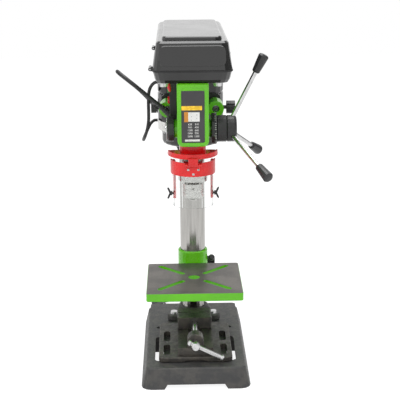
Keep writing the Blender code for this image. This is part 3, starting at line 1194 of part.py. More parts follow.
def belt_cover():
    """The hinged cover: a leaning shell with a raised roof panel and a raised panel on its front face."""
    top_share = 1 - COVER_EDGE_ROUND / COVER_HEIGHT
    outer = [cover_section(0), cover_section(top_share), cover_section(1, COVER_EDGE_ROUND)]
    made = place(loft(outer), "belt_cover", black_gloss(), "cover_axis")
    rear = HOUSING_LENGTH - HOUSING_FRONT_REACH - COVER_FRONT_LEAN - COVER_PANEL_FRONT
    front = -HOUSING_FRONT_REACH + COVER_FRONT_LEAN + COVER_PANEL_FRONT
    roof = COVER_TOP_Z
    rings = []
    for z, inset in ((roof - HOUSING_WALL, 0), (roof + COVER_PANEL_HEIGHT * 0.7, COVER_PANEL_HEIGHT * 0.25),
                     (roof + COVER_PANEL_HEIGHT, COVER_PANEL_HEIGHT * 0.6)):
        outline = rounded(2 * (COVER_PANEL_HALF_WIDTH - inset), rear - front - 2 * inset, COVER_CORNER - inset,
                          (0, (front + rear) / 2), 3)
        rings.append([(x, y, z) for x, y in outline])
    joined(made, loft(rings))
    lean = math.degrees(math.atan(COVER_FRONT_LEAN / COVER_HEIGHT))
    bottom, top = COVER_FOOT_Z + FACE_PANEL_BOTTOM, COVER_TOP_Z - FACE_PANEL_TOP
    face = rounded(2 * FACE_PANEL_HALF_WIDTH, top - bottom, FACE_PANEL_ROUND, (0, (top + bottom) / 2), 3)
    panel = prism(face, -HOUSING_FRONT_REACH - FACE_PANEL_DEPTH, -HOUSING_FRONT_REACH + HOUSING_WALL, "y")
    joined(made, turn(soften(panel, FACE_PANEL_DEPTH / 2, 1, 60), -lean, "X", (0, -HOUSING_FRONT_REACH, COVER_FOOT_Z)))
    wall = HOUSING_WALL
    inner = [
        cover_section(0, wall, -OVERRUN), cover_section(0, wall),
        cover_section(1 - (wall + COVER_EDGE_ROUND) / COVER_HEIGHT, wall),
        cover_section(1 - wall / COVER_HEIGHT, wall + COVER_EDGE_ROUND),
    ]
    shaped(made, loft(inner))
    for low, high in hinge_spans():
        third = (high - low) / 3
        joined(made, knuckle(low + third + RUNNING_GAP, high - third - RUNNING_GAP, 1))
        shaped(made, rod(HINGE_PIN_RADIUS + GAP, low, high, "y", (HINGE_X, SEAM_Z), 8))
    return made


def cover_latch():
    """A quarter-turn knob at the right of the seam; its hook reaches up over the cover's foot."""
    start = COVER_SIDE_X - 2 * HOUSING_WALL
    seat = COVER_SIDE_X + HOUSING_LIP + GAP
    end = seat + LATCH_KNOB_LENGTH
    edge = LATCH_KNOB_RADIUS / 5
    profile = [
        (0, start), (LATCH_STEM_RADIUS, start), (LATCH_STEM_RADIUS, seat), (LATCH_KNOB_RADIUS, seat),
        (LATCH_KNOB_RADIUS, end - edge), (LATCH_KNOB_RADIUS - edge, end), (0, end),
    ]
    made = place(turned(profile, "x", (0, LATCH_Y, LATCH_Z), 14), "cover_latch", black_plastic(), "latch_axis")
    return made


def step_radii():
    """The five pulley steps, largest first."""
    fall = (PULLEY_LARGE_RADIUS - PULLEY_SMALL_RADIUS) / (PULLEY_STEP_COUNT - 1)
    return [PULLEY_LARGE_RADIUS - i * fall for i in range(PULLEY_STEP_COUNT)]


PULLEY_LOW_Z = HOUSING_FLOOR_Z + HOUSING_WALL + PULLEY_FLOOR_GAP


def cone_pulley(radii, bore, centre_y, name, parent, steps=12):
    """A five-step V pulley: each step has a rim, a groove and a rim."""
    land = PULLEY_STEP_HEIGHT * PULLEY_LAND_SHARE
    profile = [(bore, PULLEY_LOW_Z)]
    for i, radius in enumerate(radii):
        low = PULLEY_LOW_Z + i * PULLEY_STEP_HEIGHT
        high = low + PULLEY_STEP_HEIGHT
        profile += [(radius, low), (radius, low + land), (radius - PULLEY_GROOVE_DEPTH, (low + high) / 2),
                    (radius, high - land)]
    top = PULLEY_LOW_Z + PULLEY_STEP_COUNT * PULLEY_STEP_HEIGHT
    profile += [(radii[-1], top), (bore, top)]
    return place(turned(profile, "z", (0, centre_y, 0), steps), name, aluminium(), parent)


def pulleys():
    """Spindle pulley with its bearing sleeve, and the motor's pulley turned the other way up."""
    spline = SPINDLE_RADIUS + GAP
    made = cone_pulley(step_radii(), spline, 0, "spindle_pulley", "pulley_axis")
    sleeve_low = HEAD_TOP_Z - PULLEY_BEARING_LENGTH
    sleeve = [
        (spline, sleeve_low), (PULLEY_BEARING_RADIUS, sleeve_low), (PULLEY_BEARING_RADIUS, PULLEY_LOW_Z + GAP),
        (spline, PULLEY_LOW_Z + GAP),
    ]
    joined(made, turned(sleeve, "z", (0, 0, 0), 14))
    motor = cone_pulley(step_radii()[::-1], MOTOR_SHAFT_RADIUS + GAP, MOTOR_Y, "motor_pulley", "motor_shaft_axis")
    return made, motor


def motor_shaft():
    top = PULLEY_LOW_Z + PULLEY_STEP_COUNT * PULLEY_STEP_HEIGHT - GAP
    edge = MOTOR_SHAFT_RADIUS / 6
    low = MOTOR_TOP_Z + GAP
    profile = [(0, low), (MOTOR_SHAFT_RADIUS, low), (MOTOR_SHAFT_RADIUS, top - edge), (MOTOR_SHAFT_RADIUS - edge, top),
               (0, top)]
    return place(turned(profile, "z", (0, MOTOR_Y, 0), 14), "motor_shaft", steel(), "motor_shaft_axis")


def drive_belt():
    """A V belt round the same step of both pulleys: tangent lines and two arcs, with a tapered section."""
    radii = step_radii()
    front = radii[BELT_STEP_COUNT]
    rear = radii[::-1][BELT_STEP_COUNT]
    split = math.degrees(math.acos((front - rear) / MOTOR_Y))
    rings = []
    middle = PULLEY_LOW_Z + (BELT_STEP_COUNT + 0.5) * PULLEY_STEP_HEIGHT
    half_rim = PULLEY_STEP_HEIGHT * (0.5 - PULLEY_LAND_SHARE)
    flank = half_rim / PULLEY_GROOVE_DEPTH
    outer = BELT_SINK
    half_outer = half_rim - flank * outer - RUNNING_GAP
    half_inner = half_outer - flank * BELT_THICKNESS
    for depth, half in ((outer, half_outer), (outer + BELT_THICKNESS, half_inner)):
        loop = arc((0, MOTOR_Y), rear - depth, 90 - split, 90 + split, 10)
        loop += arc((0, 0), front - depth, 90 + split, 450 - split, 10)
        rings.append([[(x, y, z) for x, y in loop] for z in (middle - half, middle + half)])
    mesh = bmesh.new()
    (outer_low, outer_high), (inner_low, inner_high) = [
        [[mesh.verts.new(point) for point in ring] for ring in pair] for pair in rings
    ]
    count = len(outer_low)
    for first, second in ((outer_low, outer_high), (outer_high, inner_high), (inner_high, inner_low),
                          (inner_low, outer_low)):
        for i in range(count):
            mesh.faces.new((first[i], first[(i + 1) % count], second[(i + 1) % count], second[i]))
    bmesh.ops.recalc_face_normals(mesh, faces=mesh.faces)
    return place(mesh, "drive_belt", rubber(), "press")


def motor_body():
    """A finned can with a plain upper bell, and the step of its mounting feet on the slide's plate."""
    low = MOTOR_TOP_Z - MOTOR_BODY_LENGTH
    seam = MOTOR_TOP_Z - MOTOR_SEAM
    edge = MOTOR_EDGE_ROUND
    r = MOTOR_RADIUS
    profile = [
        (0, low), (MOTOR_CAP_RADIUS, low), (r - edge, low + 4 * edge), (r, low + 8 * edge), (r, seam - edge),
        (r - edge, seam - edge / 2), (r - edge, seam + edge / 2), (r, seam + edge), (r, MOTOR_TOP_Z - 2 * edge),
        (r - 2 * edge, MOTOR_TOP_Z), (0, MOTOR_TOP_Z),
    ]
    made = place(turned(profile, "z", (0, MOTOR_Y, 0), 26), "motor_body", black_gloss(), "motor_axis")
    foot = rounded(MOTOR_PLATE_WIDTH * MOTOR_FOOT_SHARE, MOTOR_PLATE_HEIGHT, MOTOR_EDGE_ROUND, (0, ROD_Z), 1)
    joined(made, prism(foot, PLATE_REAR_Y + GAP, MOTOR_Y - MOTOR_RADIUS * MOTOR_FOOT_SINK_SHARE, "y"))
    return made


PLATE_REAR_Y = MOTOR_Y - MOTOR_RADIUS - 2 * GAP
PLATE_FRONT_Y = PLATE_REAR_Y - MOTOR_PLATE_THICKNESS


def motor_cap():
    """The motor's lower end bell, with its fan grille's stepped rim."""
    top = MOTOR_TOP_Z - MOTOR_BODY_LENGTH - GAP
    low = top - MOTOR_CAP_LENGTH
    r, edge = MOTOR_CAP_RADIUS, MOTOR_EDGE_ROUND
    profile = [(0, low), (r * 0.5, low), (r * 0.52, low + edge / 2), (r - 4 * edge, low + edge / 2)]
    profile += [(r - 3 * edge + dx, low + 3.5 * edge + dy) for dx, dy in arc((0, 0), 3 * edge, -80, 0, 4)]
    profile += [(r, top), (0, top)]
    return place(turned(profile, "z", (0, MOTOR_Y, 0), 24), "motor_cap", black_plastic(), "motor_axis")


def motor_slide():
    """The plate behind the head and its two rods, which slide in the head's arms to tighten the belt."""
    plate = rounded(MOTOR_PLATE_WIDTH, MOTOR_PLATE_HEIGHT, MOTOR_PLATE_THICKNESS, (0, ROD_Z), 3)
    made = place(prism(plate, PLATE_FRONT_Y, PLATE_REAR_Y, "y"), "motor_plate", cast_grey(), "motor_axis")
    relief = HEAD_SOCKET_RADIUS + 2 * RUNNING_GAP
    bottom, top = ROD_Z - MOTOR_PLATE_HEIGHT, ROD_Z + MOTOR_PLATE_HEIGHT
    shaped(made, rod(relief, bottom, top, "z", (0, COLUMN_Y + MOTOR_SLIDE), 20))
    front = ROD_BOSS_FRONT_Y + 4 * GAP + MOTOR_SLIDE
    edge = ROD_RADIUS / 6
    for side, name in ((-1, "left"), (1, "right")):
        x = side * ROD_OUTSET
        profile = [(0, front), (ROD_RADIUS - edge, front), (ROD_RADIUS, front + edge),
                   (ROD_RADIUS, PLATE_FRONT_Y - GAP), (0, PLATE_FRONT_Y - GAP)]
        place(turned(profile, "y", (x, 0, ROD_Z), 12), f"slide_rod_{name}", steel(), "motor_axis")
    return made


def lobed(radius, lobes, depth, centre):
    """A knob's outline: a circle with a shallow flute between each two lobes."""
    outline = []
    for i in range(lobes):
        middle = 360 / lobes * i
        reach = 360 / lobes * 0.3
        outline += arc(centre, radius, middle - reach, middle + reach, 3)
        outline += arc(centre, radius - depth, middle + 360 / lobes / 2, middle + 360 / lobes / 2, 1)[:1]
    return outline


def lock_knobs():
    """A knob at each side clamps the slide rod with its screw."""
    for side, name, radius, length in (
        (-1, "left", LOCK_KNOB_RADIUS_LEFT, LOCK_KNOB_LENGTH_LEFT),
        (1, "right", LOCK_KNOB_RADIUS_RIGHT, LOCK_KNOB_LENGTH_RIGHT),
    ):
        tip = ROD_OUTSET + ROD_RADIUS + GAP
        seat = ROD_OUTSET + ROD_BOSS_RADIUS + LOCK_SCREW_REACH
        end = seat + length
        stem = rod(LOCK_SCREW_RADIUS, side * tip, side * (seat + length / 2), "x", (LOCK_Y, ROD_Z), 14)
        made = place(stem, f"slide_knob_{name}", black_plastic(), f"lock_axis_{name}")
        grip = prism(lobed(radius, 6, radius / 6, (LOCK_Y, ROD_Z)), side * seat, side * end, "x")
        joined(made, grip)


def switch_box():
    """The switch on the head's left side, with its two push buttons and the cord's gland boss."""
    inner = -HEAD_SIDE - GAP
    outer = inner - SWITCH_DEPTH
    middle_y = SWITCH_FRONT_Y + SWITCH_LENGTH / 2
    middle_z = SWITCH_BOTTOM_Z + SWITCH_HEIGHT / 2
    outline = rounded(SWITCH_LENGTH, SWITCH_HEIGHT, SWITCH_CORNER, (middle_y, middle_z), 3)
    made = place(soften(prism(outline, outer, inner, "x"), SWITCH_CORNER / 4, 1, 60), "switch_box", black_plastic(),
                 "press")
    for up in (-1, 1):
        centre = (middle_y, BUTTON_MIDDLE_Z + up * BUTTON_SPACING / 2)
        shaped(made, rod(BUTTON_RADIUS + RUNNING_GAP, outer - OVERRUN, outer + BUTTON_SINK, "x", centre, 16))
    return made


def buttons():
    outer = -HEAD_SIDE - GAP - SWITCH_DEPTH
    middle_y = SWITCH_FRONT_Y + SWITCH_LENGTH / 2
    inner = outer + BUTTON_SINK - BUTTON_TRAVEL - RUNNING_GAP
    face = outer - BUTTON_PROUD
    edge = BUTTON_PROUD / 4
    for up, name, colour in ((1, "start_button", paint_green()), (-1, "stop_button", paint_red())):
        profile = [(0, inner), (BUTTON_RADIUS, inner), (BUTTON_RADIUS, face + edge), (BUTTON_RADIUS - edge, face),
                   (0, face)]
        solid = turned(profile, "x", (0, middle_y, BUTTON_MIDDLE_Z + up * BUTTON_SPACING / 2), 20)
        place(solid, name, colour, f"{name}_axis")


SWITCH_FACE_X = -HEAD_SIDE - GAP - SWITCH_DEPTH
GLAND_Y = SWITCH_FRONT_Y + SWITCH_LENGTH / 2


def gland_point(distance):
    """A point on the gland's axis, which rises outwards from the switch box's face."""
    rise = math.radians(GLAND_RISE_DEGREES)
    return Vector((SWITCH_FACE_X - distance * math.cos(rise), GLAND_Y, GLAND_Z + distance * math.sin(rise)))


def cord_gland():
    """A tapered strain relief, set on the switch box's face at the slant at which the cord leaves."""
    groove = (GLAND_RADIUS - GLAND_TIP_RADIUS) / 3
    profile = [(0, -GLAND_RADIUS), (GLAND_RADIUS, -GLAND_RADIUS)]
    ribs = 3
    for i in range(ribs):
        start = GLAND_LENGTH * (i + 1) / (ribs + 1)
        radius = GLAND_RADIUS + (GLAND_TIP_RADIUS - GLAND_RADIUS) * (i + 1) / (ribs + 1)
        profile += [(radius, start), (radius - groove, start + groove), (radius - groove, start + 2 * groove)]
    profile += [(GLAND_TIP_RADIUS, GLAND_LENGTH - groove), (GLAND_TIP_RADIUS - groove, GLAND_LENGTH), (0, GLAND_LENGTH)]
    where = gland_point(0)
    solid = turned(profile, "z", where, 12)
    made = place(turn(solid, GLAND_RISE_DEGREES - 90, "Y", where), "cord_gland", rubber(), "press")
    seat = SWITCH_FACE_X - GAP
    block = rounded(4 * GLAND_RADIUS, 4 * GLAND_RADIUS, GLAND_RADIUS, (GLAND_Y, GLAND_Z), 1)
    shaped(made, prism(block, seat, seat + 4 * GLAND_RADIUS, "x"))
    return made


def smooth_line(route, spacing):
    """Points a set distance apart on a smooth curve through a route."""
    points = [Vector(point) for point in route]
    points = [2 * points[0] - points[1]] + points + [2 * points[-1] - points[-2]]
    fine = []
    for a, b, c, d in zip(points, points[1:], points[2:], points[3:]):
        for i in range(20):
            t = i / 20
            fine.append(0.5 * (2 * b + (c - a) * t + (2 * a - 5 * b + 4 * c - d) * t * t + (3 * b - a - 3 * c + d) * t**3))
    fine.append(points[-2])
    length = sum((b - a).length for a, b in zip(fine, fine[1:]))
    count = round(length / spacing)
    line, walked, step = [fine[0]], 0.0, length / count
    for a, b in zip(fine, fine[1:]):
        piece = (b - a).length
        while len(line) < count and walked + piece >= step * len(line):
            line.append(a + (b - a) * ((step * len(line) - walked) / piece))
        walked += piece
    return line + [fine[-1]]


def cord_line(start, out, route, end, back, radius):
    """A cord's points: straight out of one end for a diameter, along its route, and straight into the other."""
    first = start + Vector(out) * 2 * radius
    last = end + Vector(back) * 2 * radius
    return [start, *smooth_line([first, *route, last], 5.6 * radius), end]


def line_length(points):
    return sum((b - a).length for a, b in zip(points, points[1:]))


def tube(name, points, radius, resolution, parent):
    """A round cord through points, as a curve object with closed ends."""
    curve = bpy.data.curves.new(name, "CURVE")
    curve.dimensions = "3D"
    curve.bevel_depth = radius
    curve.bevel_resolution = resolution
    curve.use_fill_caps = True
    spline = curve.splines.new("POLY")
    spline.points.add(len(points) - 1)
    for knot, point in zip(spline.points, points):
        knot.co = (*(Vector(point) - WORLD[parent]), 1)
    curve.materials.append(rubber())
    made = bpy.data.objects.new(name, curve)
    bpy.context.scene.collection.objects.link(made)
    made.parent = bpy.data.objects[parent]
    return made


def coil_line():
    """Two layers of loops: the lower spirals in, the upper out again, and the climb takes the half turn between."""
    pitch = COIL_SPACING
    half = COIL_TURN_COUNT / 2
    inner = COIL_MIDDLE_RADIUS - pitch * half / 2
    count = round(COIL_TURN_COUNT * TURN_POINT_COUNT)
    line = []
    for i in range(count + 1):
        turns = COIL_TURN_COUNT * i / count
        radius = inner + pitch * abs(turns - half)
        climb = min(max((turns - half) * 2 + 0.5, 0), 1)
        angle = math.radians(90 + 360 * turns)
        height = CORD_RADIUS + pitch * climb * climb * (3 - 2 * climb)
        line.append(Vector((COIL_X + radius * math.cos(angle), COIL_Y + radius * math.sin(angle), height)))
    straight = Vector((2 * CORD_RADIUS, 0, 0))
    return [line[0] + straight] + line + [line[-1] + straight]


def least_gap(points, radius):
    """The smallest clear distance between stretches of a tube that are half a turn or more apart."""
    apart = TURN_POINT_COUNT // 2
    gaps = [(points[i] - points[j]).length for i in range(len(points)) for j in range(i + apart, len(points))]
    return min(gaps) - 2 * radius


def cords():
    """The supply cord with its coil and plug, and the motor's lead."""
    coil = coil_line()
    start = gland_point(GLAND_LENGTH + GAP)
    end = coil[0] + Vector((GAP, 0, 0))
    out = (gland_point(GLAND_LENGTH) - gland_point(0)).normalized()
    run = cord_line(start, out, CORD_ROUTE, end, (1, 0, 0), CORD_RADIUS)
    tube("mains_cord", run, CORD_RADIUS, 2, "press")
    tube("cord_coil", coil, CORD_RADIUS, 1, "press")
    plug(coil[-1] + Vector((GAP, 0, 0)))
    lead_start = Vector((SWITCH_FACE_X - GAP, LEAD_START_Y, LEAD_START_Z))
    side = math.sqrt(MOTOR_RADIUS**2 - (LEAD_END_Y - MOTOR_Y) ** 2)
    lead_end = Vector((-side - 2 * GAP, LEAD_END_Y, LEAD_END_Z))
    lead = cord_line(lead_start, (-1, 0, 0), LEAD_ROUTE, lead_end, (-1, 0, 0), LEAD_RADIUS)
    tube("motor_lead", lead, LEAD_RADIUS, 2, "press")
    total = line_length(run) + line_length(coil) + 2 * GAP
    print(f"supply cord {total:.3f} m, coil {line_length(coil):.3f} m, motor lead {line_length(lead):.3f} m")
    print(f"least gap in the coil {least_gap(coil, CORD_RADIUS) * 1000:.2f} mm")


def plug(where):
    """A moulded plug on its side: a tapered neck, a rounded grip, two blades and an earth pin."""
    body = WORLD["press"] + where
    start = where.x
    neck = start + PLUG_NECK_LENGTH
    end = neck + PLUG_LENGTH
    tip = 4 * CORD_RADIUS / 3
    sections = []
    for x, width, height, corner in (
        (start, 2 * tip, 2 * tip, tip * 0.95), (neck, 3 * tip, 3 * tip, tip),
        (neck + PLUG_LENGTH * 0.2, PLUG_WIDTH * 0.8, PLUG_HEIGHT * 0.94, PLUG_CORNER),
        (neck + PLUG_LENGTH * 0.6, PLUG_WIDTH, PLUG_HEIGHT, PLUG_CORNER),
        (end - PLUG_CORNER / 4, PLUG_WIDTH, PLUG_HEIGHT, PLUG_CORNER),
        (end, PLUG_WIDTH - PLUG_CORNER / 2, PLUG_HEIGHT - PLUG_CORNER / 2, PLUG_CORNER * 0.8),
    ):
        sections.append([(x, u, v) for u, v in rounded(width, height, corner, (body.y, body.z), 3)])
    made = place(loft(sections), "plug", rubber(), "press")
    for side in (-1, 1):
        middle = (body.y - EARTH_PIN_OFFSET / 2, body.z + side * BLADE_SPACING / 2)
        blade = rounded(BLADE_WIDTH, BLADE_THICKNESS, BLADE_THICKNESS / 4, middle, 1)
        joined(made, prism(blade, end - PLUG_CORNER, end + BLADE_LENGTH, "x"))
    pin = rod(EARTH_PIN_RADIUS, end - PLUG_CORNER, end + BLADE_LENGTH, "x", (body.y + EARTH_PIN_OFFSET, body.z), 12)
    joined(made, soften(pin, EARTH_PIN_RADIUS / 4, 1, 60))
    return made


def table():
    """The work table: a ribbed rim, a centre hole, four diagonal slots and the lug of its tilt joint."""
    middle_y = TABLE_LENGTH / 2 - TABLE_FRONT_REACH
    low = TABLE_TOP_Z - TABLE_RIM
    slab = prism(rounded(TABLE_WIDTH, TABLE_LENGTH, TABLE_CORNER, (0, middle_y), 3), low, TABLE_TOP_Z)
    made = place(soften(slab, GAP * 3, 1, 60), "table", paint_green(), "tilt_axis")
    skin_low = TABLE_TOP_Z - TABLE_SKIN
    pocket = rounded(TABLE_WIDTH - 2 * TABLE_RIM_WALL, TABLE_LENGTH - 2 * TABLE_RIM_WALL, TABLE_CORNER,
                     (0, middle_y), 2)
    shaped(made, prism(pocket, low - OVERRUN, skin_low))
    hub_front = TILT_HUB_REAR_Y - TILT_HUB_LENGTH
    lug = arc((0, TILT_Z), TILT_HUB_RADIUS, 180, 360, 14)
    lug += [(TILT_HUB_RADIUS, skin_low + GAP), (-TILT_HUB_RADIUS, skin_low + GAP)]
    joined(made, prism(lug, hub_front, TILT_HUB_REAR_Y, "y"))
    shaped(made, rod(TILT_BOLT_RADIUS + GAP, hub_front - OVERRUN, TILT_HUB_REAR_Y + OVERRUN, "y", (0, TILT_Z), 16))
    shaped(made, rod(TABLE_HOLE_RADIUS, low - OVERRUN, TABLE_TOP_Z + OVERRUN, "z", (0, 0), 24))
    half = TABLE_SLOT_WIDTH / 2
    for bearing in (45, 135, 225, 315):
        ends = [arc((0, 0), reach, bearing, bearing, 1)[0] for reach in (TABLE_SLOT_START + half, TABLE_SLOT_END - half)]
        shaped(made, prism(slot(*ends, half, 4), low - OVERRUN, TABLE_TOP_Z + OVERRUN))
    return made


def table_bracket():
    """The split collar round the column, its clamp ears and the arm that carries the tilt joint."""
    top = TABLE_TOP_Z + COLLAR_ABOVE_TABLE
    low = top - COLLAR_HEIGHT
    edge = BASE_EDGE_ROUND
    r = COLLAR_RADIUS
    profile = [(0, low), (r - edge, low), (r, low + edge), (r, top - edge), (r - edge, top), (0, top)]
    made = place(turned(profile, "z", (0, COLUMN_Y, 0), 24), "table_bracket", paint_green(), "bracket_axis")
    arm_front = TILT_HUB_REAR_Y + RUNNING_GAP
    arm_half = TILT_HUB_RADIUS * TILT_ARM_SHARE
    half_height = TILT_ARM_HALF_HEIGHT
    arm = rounded(2 * arm_half, 2 * half_height, half_height / 3, (0, TILT_Z), 2)
    joined(made, prism(arm, arm_front + TILT_HUB_LENGTH / 2, COLUMN_Y, "y"))
    joined(made, rod(TILT_HUB_RADIUS, arm_front, arm_front + TILT_HUB_LENGTH * TILT_FACE_SHARE, "y", (0, TILT_Z), 22))
    ear_z = (top + low) / 2
    ear = rounded(COLLAR_EAR_WIDTH, COLLAR_EAR_HEIGHT, edge, (COLUMN_Y + EAR_OUT, ear_z), 2)
    joined(made, prism(ear, COLLAR_SPLIT / 2 - EAR_X, EAR_X - COLLAR_SPLIT / 2, "x"))
    shaped(made, rod(COLUMN_RADIUS + GAP, low - OVERRUN, top + OVERRUN, "z", (0, COLUMN_Y), 20))
    split = [
        (COLUMN_Y + COLUMN_RADIUS / 2, low - OVERRUN), (COLUMN_Y + EAR_OUT + COLLAR_EAR_WIDTH, low - OVERRUN),
        (COLUMN_Y + EAR_OUT + COLLAR_EAR_WIDTH, top + OVERRUN), (COLUMN_Y + COLUMN_RADIUS / 2, top + OVERRUN),
    ]
    shaped(made, prism(split, -COLLAR_SPLIT / 2, COLLAR_SPLIT / 2, "x"))
    shaped(made, rod(CLAMP_SCREW_RADIUS + GAP, -EAR_X - OVERRUN, EAR_X + OVERRUN, "x", (CLAMP_Y, ear_z), 12))
    bolt_end = TILT_HUB_REAR_Y + TILT_HUB_LENGTH * 2
    shaped(made, rod(TILT_BOLT_RADIUS + GAP, arm_front - OVERRUN, bolt_end, "y", (0, TILT_Z), 16))
    return made


EAR_X = COLLAR_EAR
EAR_OUT = COLLAR_RADIUS + COLLAR_EAR_WIDTH / 4
CLAMP_Y = COLUMN_Y + EAR_OUT + COLLAR_EAR_WIDTH / 6
CLAMP_Z = TABLE_TOP_Z + COLLAR_ABOVE_TABLE - COLLAR_HEIGHT / 2


def tilt_bolt():
    """The hexagon bolt that pins the table's lug to the bracket's arm."""
    head_front = TILT_HUB_REAR_Y - TILT_HUB_LENGTH - GAP - TILT_BOLT_HEAD_LENGTH
    head = prism(circle((0, TILT_Z), TILT_BOLT_HEAD, 6), head_front, head_front + TILT_BOLT_HEAD_LENGTH, "y")
    made = place(soften(head, GAP * 3, 1, 60), "tilt_bolt", steel(), "bracket_axis")
    end = TILT_HUB_REAR_Y + TILT_HUB_LENGTH * 2 - OVERRUN
    joined(made, rod(TILT_BOLT_RADIUS, head_front + GAP, end, "y", (0, TILT_Z), 16))
    return made


def table_clamp():
    """The clamp screw behind the column, with a hub and a ball-ended bar."""
    seat = EAR_X + GAP
    bar_x = COLLAR_RADIUS + CLAMP_BAR_CLEARANCE + CLAMP_BALL_RADIUS
    end = bar_x + CLAMP_HUB_RADIUS
    edge = CLAMP_HUB_RADIUS / 6
    profile = [
        (0, -EAR_X), (CLAMP_SCREW_RADIUS, -EAR_X), (CLAMP_SCREW_RADIUS, seat), (CLAMP_HUB_RADIUS, seat),
        (CLAMP_HUB_RADIUS, end - edge), (CLAMP_HUB_RADIUS - edge, end), (0, end),
    ]
    made = place(turned(profile, "x", (0, CLAMP_Y, CLAMP_Z), 16), "table_clamp", black_plastic(), "clamp_axis")
    bar = [
        (0, 0), (CLAMP_BAR_RADIUS, 0), (CLAMP_BAR_RADIUS, CLAMP_BAR_LENGTH - CLAMP_BALL_RADIUS),
    ]
    bar += [(radius, CLAMP_BAR_LENGTH + height) for radius, height in
            arc((0, 0), CLAMP_BALL_RADIUS, -60, 90, 5)[:-1]]
    bar += [(0, CLAMP_BAR_LENGTH + CLAMP_BALL_RADIUS)]
    solid = turned(bar, "z", (bar_x, CLAMP_Y, CLAMP_Z), 12)
    joined(made, turn(solid, CLAMP_BAR_DEGREES, "X", (bar_x, CLAMP_Y, CLAMP_Z)))
    return made


def vise_body():
    """The drill-press vise: slotted flanges, a guided bed, a fixed jaw and the screw's boss."""
    low = FLANGE_Z
    flange_top = low + VISE_FLANGE_THICKNESS
    rear_y = VISE_FRONT_Y + VISE_LENGTH
    edge = GAP * 4
    flange = rounded(VISE_FLANGE_WIDTH, VISE_LENGTH, BASE_CORNER, (0, VISE_FRONT_Y + VISE_LENGTH / 2), 3)
    made = place(soften(prism(flange, low, flange_top), edge, 1, 60), "vise_body", cast_grey(), "press")
    half = VISE_BODY_WIDTH / 2
    wall_front = VISE_FRONT_Y + VISE_WALL_LENGTH / 2
    bed = [(half, flange_top - edge), (half, VISE_BED_Z), (-half, VISE_BED_Z), (-half, flange_top - edge)]
    joined(made, prism(bed, wall_front, rear_y - edge, "y"))
    jaw_rear = VISE_JAW_MEET_Y + VISE_FIXED_JAW_LENGTH
    jaw = [(half, VISE_BED_Z - edge), (half, VISE_JAW_TOP_Z), (-half, VISE_JAW_TOP_Z), (-half, VISE_BED_Z - edge)]
    joined(made, soften(prism(jaw, VISE_JAW_MEET_Y, jaw_rear, "y"), edge, 1, 60))
    boss_y = wall_front + edge
    joined(made, soften(prism(boss_outline(), boss_y, boss_y + VISE_BOSS_LENGTH, "y"), edge, 1, 60))
    guide = VISE_GUIDE_WIDTH / 2
    trough_low = flange_top + edge
    trough = [(guide, trough_low), (guide, VISE_BED_Z + edge), (-guide, VISE_BED_Z + edge), (-guide, trough_low)]
    shaped(made, prism(trough, boss_y + VISE_BOSS_LENGTH, VISE_JAW_MEET_Y, "y"))
    shaped(made, rod(VISE_SCREW_RADIUS + GAP, VISE_FRONT_Y - OVERRUN, boss_y + VISE_BOSS_LENGTH + OVERRUN, "y",
                     (0, VISE_SCREW_Z), 14))
    slot_half = VISE_SLOT_WIDTH / 2
    for side in (-1, 1):
        for i in range(2):
            start = VISE_FRONT_Y + VISE_SLOT_FRONT + i * VISE_SLOT_SPACING + slot_half
            x = side * VISE_SLOT_OUTSET
            outline = slot((x, start), (x, start + VISE_SLOT_LENGTH - 2 * slot_half), slot_half, 3)
            shaped(made, prism(outline, low - OVERRUN, flange_top + OVERRUN))
    arch = arc((0, low), VISE_BODY_WIDTH * 0.36, 0, 180, 8)
    arch = [(u, low + (v - low) * 0.25) for u, v in arch]
    arch = [(u, v - OVERRUN if v <= low else v) for u, v in arch]
    shaped(made, prism(arch, VISE_FRONT_Y - OVERRUN, wall_front - edge * 2, "y"))
    return made


def boss_outline():
    """The front boss: round over the screw, widening to the bed with straight sides."""
    outline = arc((0, VISE_SCREW_Z), VISE_BOSS_RADIUS, 0, 180, 8)
    outline += [(-VISE_BOSS_RADIUS, VISE_BED_Z - GAP), (VISE_BOSS_RADIUS, VISE_BED_Z - GAP)]
    return outline


def vise_jaw():
    """The moving jaw on the bed, with its tongue between the guides and the screw's collar boss."""
    half = VISE_BODY_WIDTH / 2
    edge = GAP * 4
    rear = VISE_JAW_MEET_Y - GAP * 2
    front = rear - VISE_MOVING_JAW_LENGTH
    low = VISE_BED_Z + GAP
    jaw = [(half, low), (half, VISE_JAW_TOP_Z), (-half, VISE_JAW_TOP_Z), (-half, low)]
    made = place(soften(prism(jaw, front, rear, "y"), edge, 1, 60), "vise_jaw", cast_grey(), "jaw_slide_axis")
    guide = VISE_GUIDE_WIDTH / 2 - GAP
    tongue_low = FLANGE_Z + VISE_FLANGE_THICKNESS + GAP * 8
    tongue = [(guide, tongue_low), (guide, low + edge), (-guide, low + edge), (-guide, tongue_low)]
    joined(made, prism(tongue, front + edge, rear - edge, "y"))
    seat = rear - VISE_MOVING_JAW_LENGTH * VISE_SEAT_SHARE
    shaped(made, rod(VISE_SCREW_RADIUS + GAP, front - OVERRUN, seat, "y", (0, VISE_SCREW_Z), 14))
    return made


